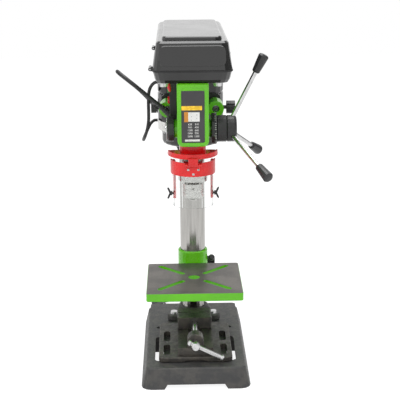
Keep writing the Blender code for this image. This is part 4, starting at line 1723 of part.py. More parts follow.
def vise_screw():
    """The clamp screw: its head is cross-drilled for the tommy bar."""
    rear = VISE_JAW_MEET_Y - GAP * 2 - VISE_MOVING_JAW_LENGTH * VISE_SEAT_SHARE - GAP
    front = VISE_HEAD_FRONT_Y
    head_rear = front + VISE_HEAD_LENGTH
    edge = VISE_HEAD_RADIUS / 5
    profile = [
        (0, front), (VISE_HEAD_RADIUS - edge, front), (VISE_HEAD_RADIUS, front + edge),
        (VISE_HEAD_RADIUS, head_rear - edge), (VISE_HEAD_RADIUS - edge, head_rear), (VISE_SCREW_RADIUS, head_rear),
        (VISE_SCREW_RADIUS, rear - edge), (VISE_SCREW_RADIUS - edge, rear), (0, rear),
    ]
    made = place(turned(profile, "y", (0, 0, VISE_SCREW_Z), 14), "vise_screw", steel(), "screw_axis")
    hole = rod(VISE_BAR_RADIUS + GAP, -VISE_HEAD_RADIUS - OVERRUN, VISE_HEAD_RADIUS + OVERRUN, "x",
               (BAR_Y, VISE_SCREW_Z), 12)
    shaped(made, turn(hole, VISE_BAR_TILT_DEGREES, "Y", (0, BAR_Y, VISE_SCREW_Z)))
    return made


BAR_Y = VISE_FRONT_Y - VISE_BAR_KNOB - RUNNING_GAP * 2
VISE_HEAD_FRONT_Y = BAR_Y - VISE_HEAD_LENGTH / 2


def vise_bar():
    """The tommy bar, with a stop knob at each end, slid all the way to one side."""
    knob_start = -VISE_HEAD_RADIUS - VISE_BAR_RADIUS / 2
    start = knob_start - VISE_BAR_KNOB_LENGTH
    end = start + VISE_BAR_LENGTH
    edge = VISE_BAR_KNOB / 4
    profile = [
        (0, start), (VISE_BAR_KNOB - edge, start), (VISE_BAR_KNOB, start + edge), (VISE_BAR_KNOB, knob_start - edge),
        (VISE_BAR_RADIUS, knob_start), (VISE_BAR_RADIUS, end - VISE_BAR_KNOB_LENGTH),
        (VISE_BAR_KNOB, end - VISE_BAR_KNOB_LENGTH + edge), (VISE_BAR_KNOB, end - edge),
        (VISE_BAR_KNOB - edge, end), (0, end),
    ]
    solid = turned(profile, "x", (0, BAR_Y, VISE_SCREW_Z), 12)
    return place(turn(solid, VISE_BAR_TILT_DEGREES, "Y", (0, BAR_Y, VISE_SCREW_Z)), "vise_bar", steel(), "bar_axis")


def axes():
    """One empty for each thing that moves, on its joint's axis, nested as the machine carries them."""
    empty("press", (0, 0, 0))
    empty("cover_axis", (HINGE_X, 0, SEAM_Z), "press")
    empty("latch_axis", (COVER_SIDE_X, LATCH_Y, LATCH_Z), "press")
    empty("pulley_axis", (0, 0, PULLEY_LOW_Z), "press")
    empty("quill_axis", (0, 0, QUILL_FOOT_Z), "press")
    empty("spindle_axis", (0, 0, QUILL_FOOT_Z), "quill_axis")
    empty("sleeve_axis", (0, 0, CHUCK_SLEEVE_Z), "spindle_axis")
    for i in range(3):
        empty(f"jaw_axis_{i + 1}", (0, 0, CHUCK_NOSE_Z), "spindle_axis")
    hood = empty("hood_axis", (0, HOOD_HINGE_Y, HOOD_HINGE_Z), "quill_axis")
    empty("shield_axis", (0, 0, SHIELD_FOOT_Z), hood.name)
    for side, name in ((-1, "left"), (1, "right")):
        empty(f"wing_axis_{name}", (side * SHIELD_RADIUS, WING_Y, WING_SCREW_Z), hood.name)
        empty(f"lock_axis_{name}", (side * ROD_OUTSET, LOCK_Y, ROD_Z), "press")
    empty("feed_axis", (0, FEED_Y, FEED_Z), "press")
    empty("ring_axis", (RING_START_X, FEED_Y, FEED_Z), "feed_axis")
    empty("motor_axis", (0, MOTOR_Y, ROD_Z), "press")
    empty("motor_shaft_axis", (0, MOTOR_Y, MOTOR_TOP_Z), "motor_axis")
    middle_y = SWITCH_FRONT_Y + SWITCH_LENGTH / 2
    face = SWITCH_FACE_X
    empty("start_button_axis", (face, middle_y, BUTTON_MIDDLE_Z + BUTTON_SPACING / 2), "press")
    empty("stop_button_axis", (face, middle_y, BUTTON_MIDDLE_Z - BUTTON_SPACING / 2), "press")
    empty("column_axis", (0, COLUMN_Y, 0), "press")
    empty("bracket_axis", (0, COLUMN_Y, CLAMP_Z), "column_axis")
    empty("clamp_axis", (0, CLAMP_Y, CLAMP_Z), "bracket_axis")
    empty("tilt_axis", (0, 0, TILT_Z), "bracket_axis")
    empty("jaw_slide_axis", (0, 0, VISE_SCREW_Z), "press")
    empty("screw_axis", (0, VISE_HEAD_FRONT_Y, VISE_SCREW_Z), "jaw_slide_axis")
    empty("bar_axis", (0, BAR_Y, VISE_SCREW_Z), "screw_axis")


CORD_PIECES = ("mains_cord", "cord_coil", "plug", "cord_gland")


def centre_on_bench():
    """Moves the machine so that the middle of its footprint, cords left out, is the origin."""
    bpy.context.view_layer.update()
    graph = bpy.context.evaluated_depsgraph_get()
    corners = []
    for made in bpy.context.scene.objects:
        if made.type == "MESH" and not made.hide_render and made.name not in CORD_PIECES:
            evaluated = made.evaluated_get(graph)
            corners += [evaluated.matrix_world @ Vector(corner) for corner in evaluated.bound_box]
    low = Vector([min(corner[i] for corner in corners) for i in range(3)])
    high = Vector([max(corner[i] for corner in corners) for i in range(3)])
    press = bpy.data.objects["press"]
    press.location = (-(low.x + high.x) / 2, -(low.y + high.y) / 2, -low.z)


def main():
    wipe_scene()
    axes()
    base()
    column_foot()
    column()
    head_casting()
    quill()
    spindle()
    chuck_body()
    chuck_sleeve()
    chuck_jaws()
    feed_shaft()
    feed_hub()
    levers()
    depth_ring()
    spring_cap()
    guard_clamp()
    guard_hood()
    clear_shield()
    wing_screws()
    belt_housing()
    hinge_pins()
    belt_cover()
    cover_latch()
    pulleys()
    motor_shaft()
    drive_belt()
    motor_body()
    motor_cap()
    motor_slide()
    lock_knobs()
    switch_box()
    buttons()
    table()
    table_bracket()
    tilt_bolt()
    table_clamp()
    vise_body()
    vise_jaw()
    vise_screw()
    vise_bar()
    cord_gland()
    cords()
    centre_on_bench()


main()
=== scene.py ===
"""Looks of a benchtop drill press: enamelled belt cover and head, bright column and chuck, red and clear chuck guard,
slotted table, vise on a cast base, and the supply cord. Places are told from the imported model's boxes, most of them
from its spindle's axis."""

import math

import bmesh
import bpy
import numpy as np
from mathutils import Matrix, Vector


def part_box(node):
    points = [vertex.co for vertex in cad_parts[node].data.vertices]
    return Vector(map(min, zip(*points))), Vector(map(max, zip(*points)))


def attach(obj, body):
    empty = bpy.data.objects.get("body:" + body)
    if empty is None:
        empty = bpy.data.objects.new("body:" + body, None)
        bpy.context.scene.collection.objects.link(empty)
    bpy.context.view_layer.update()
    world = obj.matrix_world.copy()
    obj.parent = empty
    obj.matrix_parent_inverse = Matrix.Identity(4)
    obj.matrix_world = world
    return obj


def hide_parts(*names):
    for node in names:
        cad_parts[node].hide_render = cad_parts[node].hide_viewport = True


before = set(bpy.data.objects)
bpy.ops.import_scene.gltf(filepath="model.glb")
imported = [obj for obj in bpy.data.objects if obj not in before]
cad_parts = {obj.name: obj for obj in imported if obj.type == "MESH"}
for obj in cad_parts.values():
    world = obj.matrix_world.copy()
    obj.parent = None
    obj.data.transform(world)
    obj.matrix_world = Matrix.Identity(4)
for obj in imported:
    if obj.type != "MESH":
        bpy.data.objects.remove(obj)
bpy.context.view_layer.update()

UP = np.array([0.0, 0.0, 1.0])

# Camera: where the photograph was taken from, told from the column's axis
LENS = 93.0
CAMERA_DISTANCE = 1.831
CAMERA_SIDE = 0.0141
CAMERA_HEIGHT = 0.7635
CAMERA_TURN = 1.3
CAMERA_PITCH = 15.37
CAMERA_ROLL = 0.45

# Studio: the floor's side, its glow and the shares of it that the camera and reflections see, the room's fill, and
# the lamps, each with its place, side and power
FLOOR_SIDE = 8.0
FLOOR_GLOW = 1.3
FLOOR_SEEN = 0.7
FLOOR_MIRRORED = 0.35
ROOM_FILL = 0.45
LAMPS = {
    "front_softbox": ((-0.35, -2.3, 1.55), 3.0, 24.0),
    "left_softbox": ((-1.7, -0.5, 1.0), 1.4, 8.0),
    "right_softbox": ((1.7, -0.7, 0.9), 1.4, 6.0),
    "top_softbox": ((0.0, 0.35, 2.0), 1.3, 26.0),
}

# Finishes, as linear colours
GREEN = (0.13, 0.56, 0.004)
GREEN_DEEP = (0.105, 0.46, 0.008)
RED = (0.80, 0.004, 0.005)
RED_DEEP = (0.50, 0.003, 0.005)
BLACK = (0.004, 0.004, 0.004)
CAST_DARK = (0.046, 0.046, 0.047)
CAST_LIGHT = (0.078, 0.074, 0.068)
STEEL = (0.60, 0.59, 0.57)
IRON = (0.20, 0.185, 0.165)
IRON_DARK = (0.105, 0.098, 0.090)
WHITE = (0.80, 0.80, 0.78)
YELLOW = (0.80, 0.50, 0.02)

# Rating plate: a dark plate in the head's recess, with a band, two blocks, the figures of the pulley's steps on the
# right one, two columns of speeds and a scale bar
PLATE_WIDTH = 0.038
PLATE_LOW_Z = 0.4038
PLATE_HIGH_Z = 0.4898
PLATE_THICKNESS = 0.0005
PLATE_CORNER = 0.002
PRINT_THICKNESS = 0.00012
PRINT_CORNER = 0.0003
RECESS_DEPTH = 0.0012
SPEEDS = ((620, 310), (900, 450), (1280, 640), (1900, 950), (2600, 1300))
SPEED_COLUMNS = (-0.0050, 0.0058)
SPEED_TOP_Z = 0.4345
SPEED_PITCH = 0.0050
SPEED_SIZE = 0.0042
STEP_COUNT = 5
STEP_COLUMNS = (-0.0030, 0.0060)
STEP_TOP_Z = 0.4530
STEP_PITCH = 0.0028
STEP_SIZE = 0.0026
# Printed blocks: left, right, low and high edge, from the spindle's axis and the bench
PRINTED_BLOCKS = {
    "plate_band": (-0.0188, 0.0148, 0.4580, 0.4650),
    "plate_block_left": (-0.0145, -0.0078, 0.4385, 0.4552),
    "plate_block_right": (-0.0078, 0.0108, 0.4392, 0.4545),
    "plate_bar": (-0.0135, 0.0110, 0.4062, 0.4093),
}
# Marks of the scale bar: count, first place, pitch, height above the bench, width and length
BAR_MARKS = (11, -0.0125, 0.0023, 0.40775, 0.0004, 0.0016)

# Motor's label: bearings round the shell in degrees from the front, low and high edge, and how far it sinks and stands
LABEL_BEARINGS = (-82, -50)
LABEL_Z = (0.375, 0.392)
LABEL_SINK = 0.0004
LABEL_PROUD = 0.0003
LABEL_STEPS = 20

# Fasteners: a size is across the flats of a bolt or the radius of a screw's head, then height. Housing bolts are
# placed by side and depth from the spindle's axis, hood screws by side from it and height above the bench, and the
# cap's screws and the foot's bolts on circles about the motor and the column. SEAT is how far a head sinks in
HOUSING_BOLT = (0.0130, 0.0055)
FOOT_BOLT = (0.0130, 0.0058)
CAP_SCREW = (0.0038, 0.0018)
HOOD_SCREW = (0.0021, 0.0011)
HOUSING_BOLT_PLACES = ((-0.047, -0.046), (0.041, -0.046), (-0.047, 0.030), (0.041, 0.030))
HOOD_SCREW_PLACES = ((-0.0085, 0.3522), (0.0085, 0.3522), (0.0, 0.3445))
CAP_SCREW_CIRCLE = 0.040
CAP_SCREW_SINK = 0.0006
SEAT = 0.0002
CAP_NUT = (0.0100, 0.0035)
CAP_NUT_SINK = 0.0016
FOOT_BOLT_CIRCLE = 0.042
FOOT_FLANGE = 0.0093
FOOT_BOLT_BEARINGS = (-30, 90, 210)

# Marks of the buttons, as width, height and corner, and as inner and outer radius; marks of the depth ring, seated at
# a share of its radius; and the spring cap's rim
START_BAR = (0.0012, 0.0062, 0.0004)
STOP_RING = (0.0022, 0.0032)
RING_MARK_COUNT = 50
RING_LONG_EVERY = 5
RING_LONG, RING_SHORT, RING_MARK_WIDTH = 0.0048, 0.0028, 0.0005
RING_MARK_INSET = 0.0008
RING_MARK_REACH = 0.994
MARK_CORNER = 0.0001
RIM_SECTION = 0.0006
RIM_INSET = 0.0012

# Coil's strap: inner and outer reach, bearing, half width, and how far its two faces stand from the wound turns
TIE_REACH = (0.0215, 0.0495)
TIE_BEARING = -150
TIE_HALF_WIDTH = 0.004
TIE_FACES = (-0.0004, 0.0002)

# Red sleeve under the cover: its top, its lean, and its reach at each length
SLEEVE_TOP = (-0.0405, -0.020)
SLEEVE_LEAN = (0.16, 0.1, -1)
SLEEVE_RINGS = ((0, 0.0), (0.0028, 0.0), (0.0032, 0.003), (0.0032, 0.014), (0.0020, 0.020), (0, 0.020))

# Cords: real sizes, the steps between their points, and the routes that their solids follow, in metres from the
# spindle's axis and the bench
CORD_DIAMETER = 0.007
CORD_STEP = 0.0180
LEAD_DIAMETER = 0.0058
LEAD_STEP = 0.0062
GLAND_FACE = (-0.0388, 0.0660, 0.4290)
GLAND_LENGTH = 0.024
GLAND_GAP = 0.0003
GLAND_RISE_DEGREES = 40
CORD_ROUTE = [
    (-0.0750, 0.0660, 0.4594), (-0.0920, 0.0660, 0.4737), (-0.1075, 0.0665, 0.4866), (-0.1220, 0.0744, 0.4970),
    (-0.1300, 0.0940, 0.5003), (-0.1275, 0.1290, 0.4905), (-0.1170, 0.1800, 0.4719), (-0.0980, 0.2350, 0.4452),
    (-0.0790, 0.2760, 0.4170), (-0.0590, 0.3030, 0.3850), (-0.0400, 0.3150, 0.3500), (-0.0230, 0.3170, 0.3120),
    (-0.0090, 0.3120, 0.2700), (0.0010, 0.3040, 0.2250), (0.0065, 0.2960, 0.1750), (0.0085, 0.2900, 0.1250),
    (0.0085, 0.2858, 0.0800), (0.0085, 0.2852, 0.0540), (0.0066, 0.2852, 0.0300), (0.0008, 0.2852, 0.0160),
    (-0.0085, 0.2852, 0.0076),
]
COIL_CENTRE = (-0.036, 0.240)
COIL_MIDDLE_RADIUS = 0.0365
COIL_TURNS = 4.5
COIL_SPACING = 0.0078
COIL_POINTS_PER_TURN = 18
LEAD_ROUTE = [
    (-0.0391, 0.0760, 0.4820), (-0.0449, 0.0760, 0.4820), (-0.0560, 0.0785, 0.4830), (-0.0640, 0.0860, 0.4815),
    (-0.0710, 0.0940, 0.4740), (-0.0752, 0.1000, 0.4630), (-0.0768, 0.1060, 0.4450), (-0.0770, 0.1100, 0.4250),
    (-0.0776, 0.1150, 0.4070), (-0.0805, 0.1220, 0.3900), (-0.0850, 0.1330, 0.3750), (-0.0880, 0.1480, 0.3660),
    (-0.0885, 0.1650, 0.3640), (-0.0860, 0.1800, 0.3680), (-0.0815, 0.1930, 0.3760), (-0.0770, 0.2020, 0.3840),
    (-0.0715, 0.2075, 0.3890), (-0.0684, 0.2090, 0.3905), (-0.0626, 0.2090, 0.3905),
]


def span(node):
    """The lowest and highest corner of a CAD node, as arrays."""
    low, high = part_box(node)
    return np.array(low), np.array(high)


def middle(node):
    low, high = span(node)
    return (low + high) / 2


HOME = middle("spindle") * (1, 1, 0)


# Shader nodes


def node(tree, kind, sockets=(), **settings):
    """A shader node with its settings, and with each named socket linked or given its value."""
    made = tree.nodes.new(kind)
    for key, value in settings.items():
        setattr(made, key, value)
    for key, value in dict(sockets).items():
        if isinstance(value, bpy.types.NodeSocket):
            tree.links.new(value, made.inputs[key])
        else:
            made.inputs[key].default_value = value
    return made


def maths(tree, operation, first, second=0.0, clamp=False):
    return node(tree, "ShaderNodeMath", {0: first, 1: second}, operation=operation, use_clamp=clamp).outputs[0]


def ramp(tree, value, low, high, out_low=0.0, out_high=1.0):
    """Carries a value from one range to another, and holds it there."""
    sockets = {"Value": value, "From Min": low, "From Max": high, "To Min": out_low, "To Max": out_high}
    return node(tree, "ShaderNodeMapRange", sockets, interpolation_type="SMOOTHSTEP").outputs[0]


def mixed(tree, factor, first, second):
    """One colour over another by a factor."""
    made = node(tree, "ShaderNodeMix", {0: factor}, data_type="RGBA")
    for socket, value in ((made.inputs[6], first), (made.inputs[7], second)):
        if isinstance(value, bpy.types.NodeSocket):
            tree.links.new(value, socket)
        else:
            socket.default_value = (*value[:3], 1.0)
    return made.outputs[2]


def noise(tree, vector, scale, detail=3.0, rough=0.55):
    sockets = {"Vector": vector, "Scale": scale, "Detail": detail, "Roughness": rough}
    return node(tree, "ShaderNodeTexNoise", sockets).outputs["Fac"]


def group(name, inputs, outputs):
    """A node group: inputs are name to (kind, value), outputs are name to kind. Returns its tree and two ends."""
    tree = bpy.data.node_groups.new(name, "ShaderNodeTree")
    for label, (kind, value) in inputs.items():
        tree.interface.new_socket(label, in_out="INPUT", socket_type=kind).default_value = value
    for label, kind in outputs.items():
        tree.interface.new_socket(label, in_out="OUTPUT", socket_type=kind)
    return tree, tree.nodes.new("NodeGroupInput"), tree.nodes.new("NodeGroupOutput")


FLOAT, COLOUR, POINT = "NodeSocketFloat", "NodeSocketColor", "NodeSocketVector"


def mottle_group():
    """Soft patches: one colour drifts into a second over a noise."""
    tree, inside, outside = group(
        "mottle",
        {
            "Colour": (COLOUR, (1, 1, 1, 1)), "Second": (COLOUR, (0, 0, 0, 1)), "Scale": (FLOAT, 20.0),
            "Amount": (FLOAT, 0.5),
        },
        {"Colour": COLOUR},
    )
    place = node(tree, "ShaderNodeTexCoord").outputs["Object"]
    patches = ramp(tree, noise(tree, place, inside.outputs["Scale"]), 0.38, 0.66)
    factor = maths(tree, "MULTIPLY", patches, inside.outputs["Amount"])
    tree.links.new(mixed(tree, factor, inside.outputs["Colour"], inside.outputs["Second"]), outside.inputs["Colour"])
    return tree


def grain_group():
    """Fine bumps and the roughness that goes with them."""
    tree, inside, outside = group(
        "grain",
        {"Scale": (FLOAT, 800.0), "Rough low": (FLOAT, 0.3), "Rough high": (FLOAT, 0.5)},
        {"Roughness": FLOAT, "Height": FLOAT},
    )
    place = node(tree, "ShaderNodeTexCoord").outputs["Object"]
    fine = noise(tree, place, inside.outputs["Scale"], 4.0)
    broad = noise(tree, place, maths(tree, "MULTIPLY", inside.outputs["Scale"], 0.06), 2.0)
    both = maths(tree, "ADD", maths(tree, "MULTIPLY", fine, 0.5), maths(tree, "MULTIPLY", broad, 0.5))
    spread = maths(tree, "SUBTRACT", inside.outputs["Rough high"], inside.outputs["Rough low"])
    share = ramp(tree, both, 0.35, 0.65)
    rough = maths(tree, "ADD", maths(tree, "MULTIPLY", share, spread), inside.outputs["Rough low"])
    tree.links.new(rough, outside.inputs["Roughness"])
    tree.links.new(fine, outside.inputs["Height"])
    return tree


def wear_group():
    """A mask of rubbed edges: where the rounded normal leaves the face's own, broken up by a noise."""
    tree, inside, outside = group(
        "edge_wear", {"Width": (FLOAT, 0.001), "Amount": (FLOAT, 0.6), "Scale": (FLOAT, 120.0)}, {"Mask": FLOAT}
    )
    rounded = node(tree, "ShaderNodeBevel", {"Radius": inside.outputs["Width"]}, samples=4).outputs[0]
    own = node(tree, "ShaderNodeNewGeometry").outputs["Normal"]
    alike = node(tree, "ShaderNodeVectorMath", {0: rounded, 1: own}, operation="DOT_PRODUCT").outputs["Value"]
    edge = ramp(tree, alike, 0.995, 0.93)
    place = node(tree, "ShaderNodeTexCoord").outputs["Object"]
    broken = ramp(tree, noise(tree, place, inside.outputs["Scale"], 5.0), 0.42, 0.62)
    mask = maths(tree, "MULTIPLY", maths(tree, "MULTIPLY", edge, broken), inside.outputs["Amount"])
    tree.links.new(mask, outside.inputs["Mask"])
    return tree


def lines_group():
    """Marks of a tool or a brush: a noise stretched hard along one way, as a height and a share of light."""
    tree, inside, outside = group(
        "tool_lines", {"Stretch": (POINT, (1, 1, 1)), "Scale": (FLOAT, 60.0)}, {"Lines": FLOAT}
    )
    place = node(tree, "ShaderNodeTexCoord").outputs["Object"]
    stretched = node(tree, "ShaderNodeMapping", {"Vector": place, "Scale": inside.outputs["Stretch"]}).outputs[0]
    tree.links.new(noise(tree, stretched, inside.outputs["Scale"], 4.0, 0.6), outside.inputs["Lines"])
    return tree


def rings_group():
    """Marks of a facing cut: rings about a centre line, from the distance to it, with each cut of its own strength."""
    tree, inside, outside = group(
        "facing_rings",
        {"Centre": (POINT, (0, 0, 0)), "Keep": (POINT, (1, 1, 0)), "Scale": (FLOAT, 900.0)},
        {"Rings": FLOAT},
    )
    place = node(tree, "ShaderNodeTexCoord").outputs["Object"]
    away = node(tree, "ShaderNodeVectorMath", {0: place, 1: inside.outputs["Centre"]}, operation="SUBTRACT").outputs[0]
    flat = node(tree, "ShaderNodeVectorMath", {0: away, 1: inside.outputs["Keep"]}, operation="MULTIPLY").outputs[0]
    reach = node(tree, "ShaderNodeVectorMath", {0: flat}, operation="LENGTH").outputs["Value"]
    along = maths(tree, "MULTIPLY", reach, inside.outputs["Scale"])
    turns = node(
        tree, "ShaderNodeTexNoise", {"W": along, "Scale": 1.0, "Detail": 3.0}, noise_dimensions="1D"
    ).outputs["Fac"]
    tree.links.new(turns, outside.inputs["Rings"])
    return tree


MOTTLE, GRAIN, WEAR, LINES, RINGS = mottle_group(), grain_group(), wear_group(), lines_group(), rings_group()


def use(tree, effect, sockets):
    """Places an effect's node group in a material."""
    made = tree.nodes.new("ShaderNodeGroup")
    made.node_tree = effect
    for key, value in sockets.items():
        if isinstance(value, bpy.types.NodeSocket):
            tree.links.new(value, made.inputs[key])
        else:
            made.inputs[key].default_value = (*value, 1.0) if key in ("Colour", "Second") else value
    return made.outputs


def surface(name, **plain):
    """A material with its Principled shader and the values that are the same all over it."""
    made = bpy.data.materials.new(name)
    made.use_nodes = True
    tree = made.node_tree
    shader = tree.nodes["Principled BSDF"]
    for key, value in plain.items():
        shader.inputs[key.replace("_", " ").title().replace("Ior", "IOR")].default_value = value
    return made, tree, shader


def bumped(tree, shader, height, strength, distance):
    """Puts a height on the shader's normal."""
    sockets = {"Height": height, "Strength": strength, "Distance": distance}
    tree.links.new(node(tree, "ShaderNodeBump", sockets).outputs[0], shader.inputs["Normal"])


def enamel(name, colour, second, low, high, coat=0.4, edge=(0.3, 0.3, 0.3), worn=0.25, peel=0.00006):
    """Sprayed enamel: slight drift of colour, the soft waves of spray, and edges rubbed a little paler."""
    made, tree, shader = surface(name, coat_weight=coat, coat_roughness=0.08)
    colours = use(tree, MOTTLE, {"Colour": colour, "Second": second, "Scale": 14.0, "Amount": 0.7})
    grain = use(tree, GRAIN, {"Scale": 420.0, "Rough low": low, "Rough high": high})
    mask = use(tree, WEAR, {"Width": 0.0012, "Amount": worn, "Scale": 160.0})["Mask"]
    tree.links.new(mixed(tree, mask, colours["Colour"], edge), shader.inputs["Base Color"])
    tree.links.new(grain["Roughness"], shader.inputs["Roughness"])
    bumped(tree, shader, grain["Height"], 0.5, peel)
    return made


def casting(name, colour, second, low, high, depth=0.0003, metallic=0.0):
    """A painted sand casting: pebbled skin, soft patches of a second colour, and edges rubbed to a dull shine."""
    made, tree, shader = surface(name, metallic=metallic)
    place = node(tree, "ShaderNodeTexCoord").outputs["Object"]
    cells = node(tree, "ShaderNodeTexVoronoi", {"Vector": place, "Scale": 520.0}, feature="SMOOTH_F1")
    pebbles = cells.outputs["Distance"]
    coarse = noise(tree, place, 260.0, 5.0)
    height = maths(tree, "ADD", maths(tree, "MULTIPLY", pebbles, 0.6), coarse)
    colours = use(tree, MOTTLE, {"Colour": colour, "Second": second, "Scale": 60.0, "Amount": 0.8})
    mask = use(tree, WEAR, {"Width": 0.0011, "Amount": 0.4, "Scale": 200.0})["Mask"]
    tree.links.new(mixed(tree, mask, colours["Colour"], [3.2 * c for c in second]), shader.inputs["Base Color"])
    tree.links.new(ramp(tree, coarse, 0.35, 0.65, low, high), shader.inputs["Roughness"])
    bumped(tree, shader, height, 0.55, depth)
    return made


def steel(name, colour, low, high, stretch=(1.0, 1.0, 1.0), scale=90.0, depth=0.00003, rust=0.12):
    """Bright steel: lines of the grinder or the lathe, with a few dull stains."""
    made, tree, shader = surface(name, metallic=1.0)
    lines = use(tree, LINES, {"Stretch": stretch, "Scale": scale})["Lines"]
    dark = [0.62 * c for c in colour]
    colours = use(tree, MOTTLE, {"Colour": colour, "Second": dark, "Scale": 45.0, "Amount": rust})
    shade = mixed(tree, ramp(tree, lines, 0.35, 0.65, 0.0, 0.35), colours["Colour"], dark)
    tree.links.new(shade, shader.inputs["Base Color"])
    tree.links.new(ramp(tree, lines, 0.3, 0.7, low, high), shader.inputs["Roughness"])
    bumped(tree, shader, lines, 0.35, depth)
    return made


def plastic(name, colour, low, high, scale=900.0, depth=0.00005):
    """Moulded plastic: a fine spark-eroded skin, a little rubbed on its edges."""
    made, tree, shader = surface(name)
    lighter = [1.6 * c + 0.01 for c in colour]
    colours = use(tree, MOTTLE, {"Colour": colour, "Second": lighter, "Scale": 35.0, "Amount": 0.35})
    grain = use(tree, GRAIN, {"Scale": scale, "Rough low": low, "Rough high": high})
    mask = use(tree, WEAR, {"Width": 0.0007, "Amount": 0.35, "Scale": 220.0})["Mask"]
    tree.links.new(mixed(tree, mask, colours["Colour"], [2.5 * c + 0.02 for c in colour]), shader.inputs["Base Color"])
    tree.links.new(grain["Roughness"], shader.inputs["Roughness"])
    bumped(tree, shader, grain["Height"], 0.4, depth)
    return made


def machined_table():
    """The table: a bare cut face with ring marks and scratches, over green enamel on its edges and in its slots."""
    made, tree, shader = surface("table_finish", coat_roughness=0.1)
    place = node(tree, "ShaderNodeTexCoord").outputs["Object"]
    height = node(tree, "ShaderNodeSeparateXYZ", {0: place}).outputs["Z"]
    top = span("table")[1][2]
    bare = ramp(tree, height, top - 0.0006, top - 0.0002)
    centre = middle("table")
    rings = use(tree, RINGS, {"Centre": (centre[0], centre[1], 0), "Keep": (1, 1, 0), "Scale": 1400.0})["Rings"]
    scratches = use(tree, LINES, {"Stretch": (1.0, 14.0, 1.0), "Scale": 40.0})["Lines"]
    stains = use(tree, MOTTLE, {"Colour": IRON, "Second": IRON_DARK, "Scale": 22.0, "Amount": 0.8})["Colour"]
    metal = mixed(tree, ramp(tree, rings, 0.35, 0.65, 0.0, 0.4), stains, IRON_DARK)
    paint = use(tree, MOTTLE, {"Colour": GREEN, "Second": GREEN_DEEP, "Scale": 14.0, "Amount": 0.7})["Colour"]
    tree.links.new(mixed(tree, bare, paint, metal), shader.inputs["Base Color"])
    rough = ramp(tree, rings, 0.3, 0.7, 0.30, 0.46)
    painted_rough = maths(tree, "MULTIPLY", maths(tree, "SUBTRACT", 1.0, bare), 0.3)
    mixed_rough = maths(tree, "ADD", maths(tree, "MULTIPLY", bare, rough), painted_rough)
    tree.links.new(mixed_rough, shader.inputs["Roughness"])
    tree.links.new(maths(tree, "MULTIPLY", bare, 0.75), shader.inputs["Metallic"])
    marks = maths(tree, "MULTIPLY", maths(tree, "ADD", rings, maths(tree, "MULTIPLY", scratches, 0.6)), bare)
    bumped(tree, shader, marks, 0.3, 0.00005)
    return made


def clear_sheet():
    """Clear moulded sheet, with faint scuffs that show in its gloss."""
    made, tree, shader = surface(
        "clear_sheet", base_color=(0.93, 0.945, 0.94, 1.0), transmission_weight=1.0, metallic=0.0, ior=1.3
    )
    scuffs = use(tree, LINES, {"Stretch": (1.0, 1.0, 0.15), "Scale": 300.0})["Lines"]
    tree.links.new(ramp(tree, scuffs, 0.45, 0.75, 0.03, 0.10), shader.inputs["Roughness"])
    return made


GREEN_ENAMEL = enamel("green_enamel", GREEN, GREEN_DEEP, 0.24, 0.36, 0.25, (0.30, 0.75, 0.10), 0.3)
BLACK_ENAMEL = enamel("black_enamel", BLACK, (0.016, 0.016, 0.017), 0.10, 0.18, 0.3, (0.03, 0.03, 0.03), 0.35, 0.00004)
RED_MOULDING = enamel("red_moulding", RED, RED_DEEP, 0.24, 0.34, 0.25, (0.85, 0.12, 0.10), 0.3)
COVER_ENAMEL = enamel(
    "cover_enamel", (0.004, 0.004, 0.004), (0.006, 0.006, 0.006), 0.12, 0.20, 0.35, (0.04, 0.04, 0.04), 0.35, 0.00003
)
BASE_CASTING = casting("base_casting", CAST_DARK, CAST_LIGHT, 0.42, 0.58)
COLUMN_STEEL = steel("column_steel", (0.46, 0.45, 0.43), 0.12, 0.20, (1.0, 1.0, 0.06), 220.0, 0.000001, 0.05)
BRIGHT_STEEL = steel("bright_steel", STEEL, 0.18, 0.34, (1.0, 1.0, 6.0), 120.0)
PLATED_STEEL = steel("plated_steel", (0.66, 0.66, 0.66), 0.16, 0.28, (1.0, 1.0, 1.0), 160.0)
TURNED_ALUMINIUM = steel("turned_aluminium", (0.70, 0.70, 0.71), 0.25, 0.42, (0.3, 0.3, 12.0), 60.0)
VISE_IRON = casting("vise_iron", (0.045, 0.042, 0.038), (0.095, 0.085, 0.070), 0.34, 0.52, 0.00022, 0.3)
BLACK_MOULDING = plastic("black_moulding", (0.016, 0.016, 0.017), 0.32, 0.48)
GRIP_MOULDING = plastic("grip_moulding", (0.020, 0.020, 0.022), 0.26, 0.40)
SWITCH_MOULDING = plastic("switch_moulding", (0.014, 0.014, 0.015), 0.38, 0.52)
CAP_MOULDING = plastic("cap_moulding", (0.024, 0.024, 0.026), 0.30, 0.44)
CORD_SHEATH = plastic("cord_sheath", (0.014, 0.014, 0.015), 0.42, 0.58, 1600.0, 0.00004)
BELT_RUBBER = plastic("belt_rubber", (0.017, 0.017, 0.018), 0.55, 0.72, 1200.0, 0.0001)
START_GREEN = plastic("start_green", (0.02, 0.36, 0.05), 0.25, 0.38)
STOP_RED = plastic("stop_red", (0.58, 0.008, 0.008), 0.25, 0.38)
PLATE_WHITE = plastic("plate_white", WHITE, 0.30, 0.42)
PLATE_YELLOW = plastic("plate_yellow", YELLOW, 0.30, 0.42)
PLATE_BLACK = plastic("plate_black", (0.012, 0.012, 0.013), 0.25, 0.36)
PLATE_GREY = plastic("plate_grey", (0.045, 0.045, 0.047), 0.30, 0.42)
PLATE_ORANGE = plastic("plate_orange", (0.62, 0.25, 0.03), 0.30, 0.42)
TABLE_FINISH = machined_table()
CLEAR_SHEET = clear_sheet()

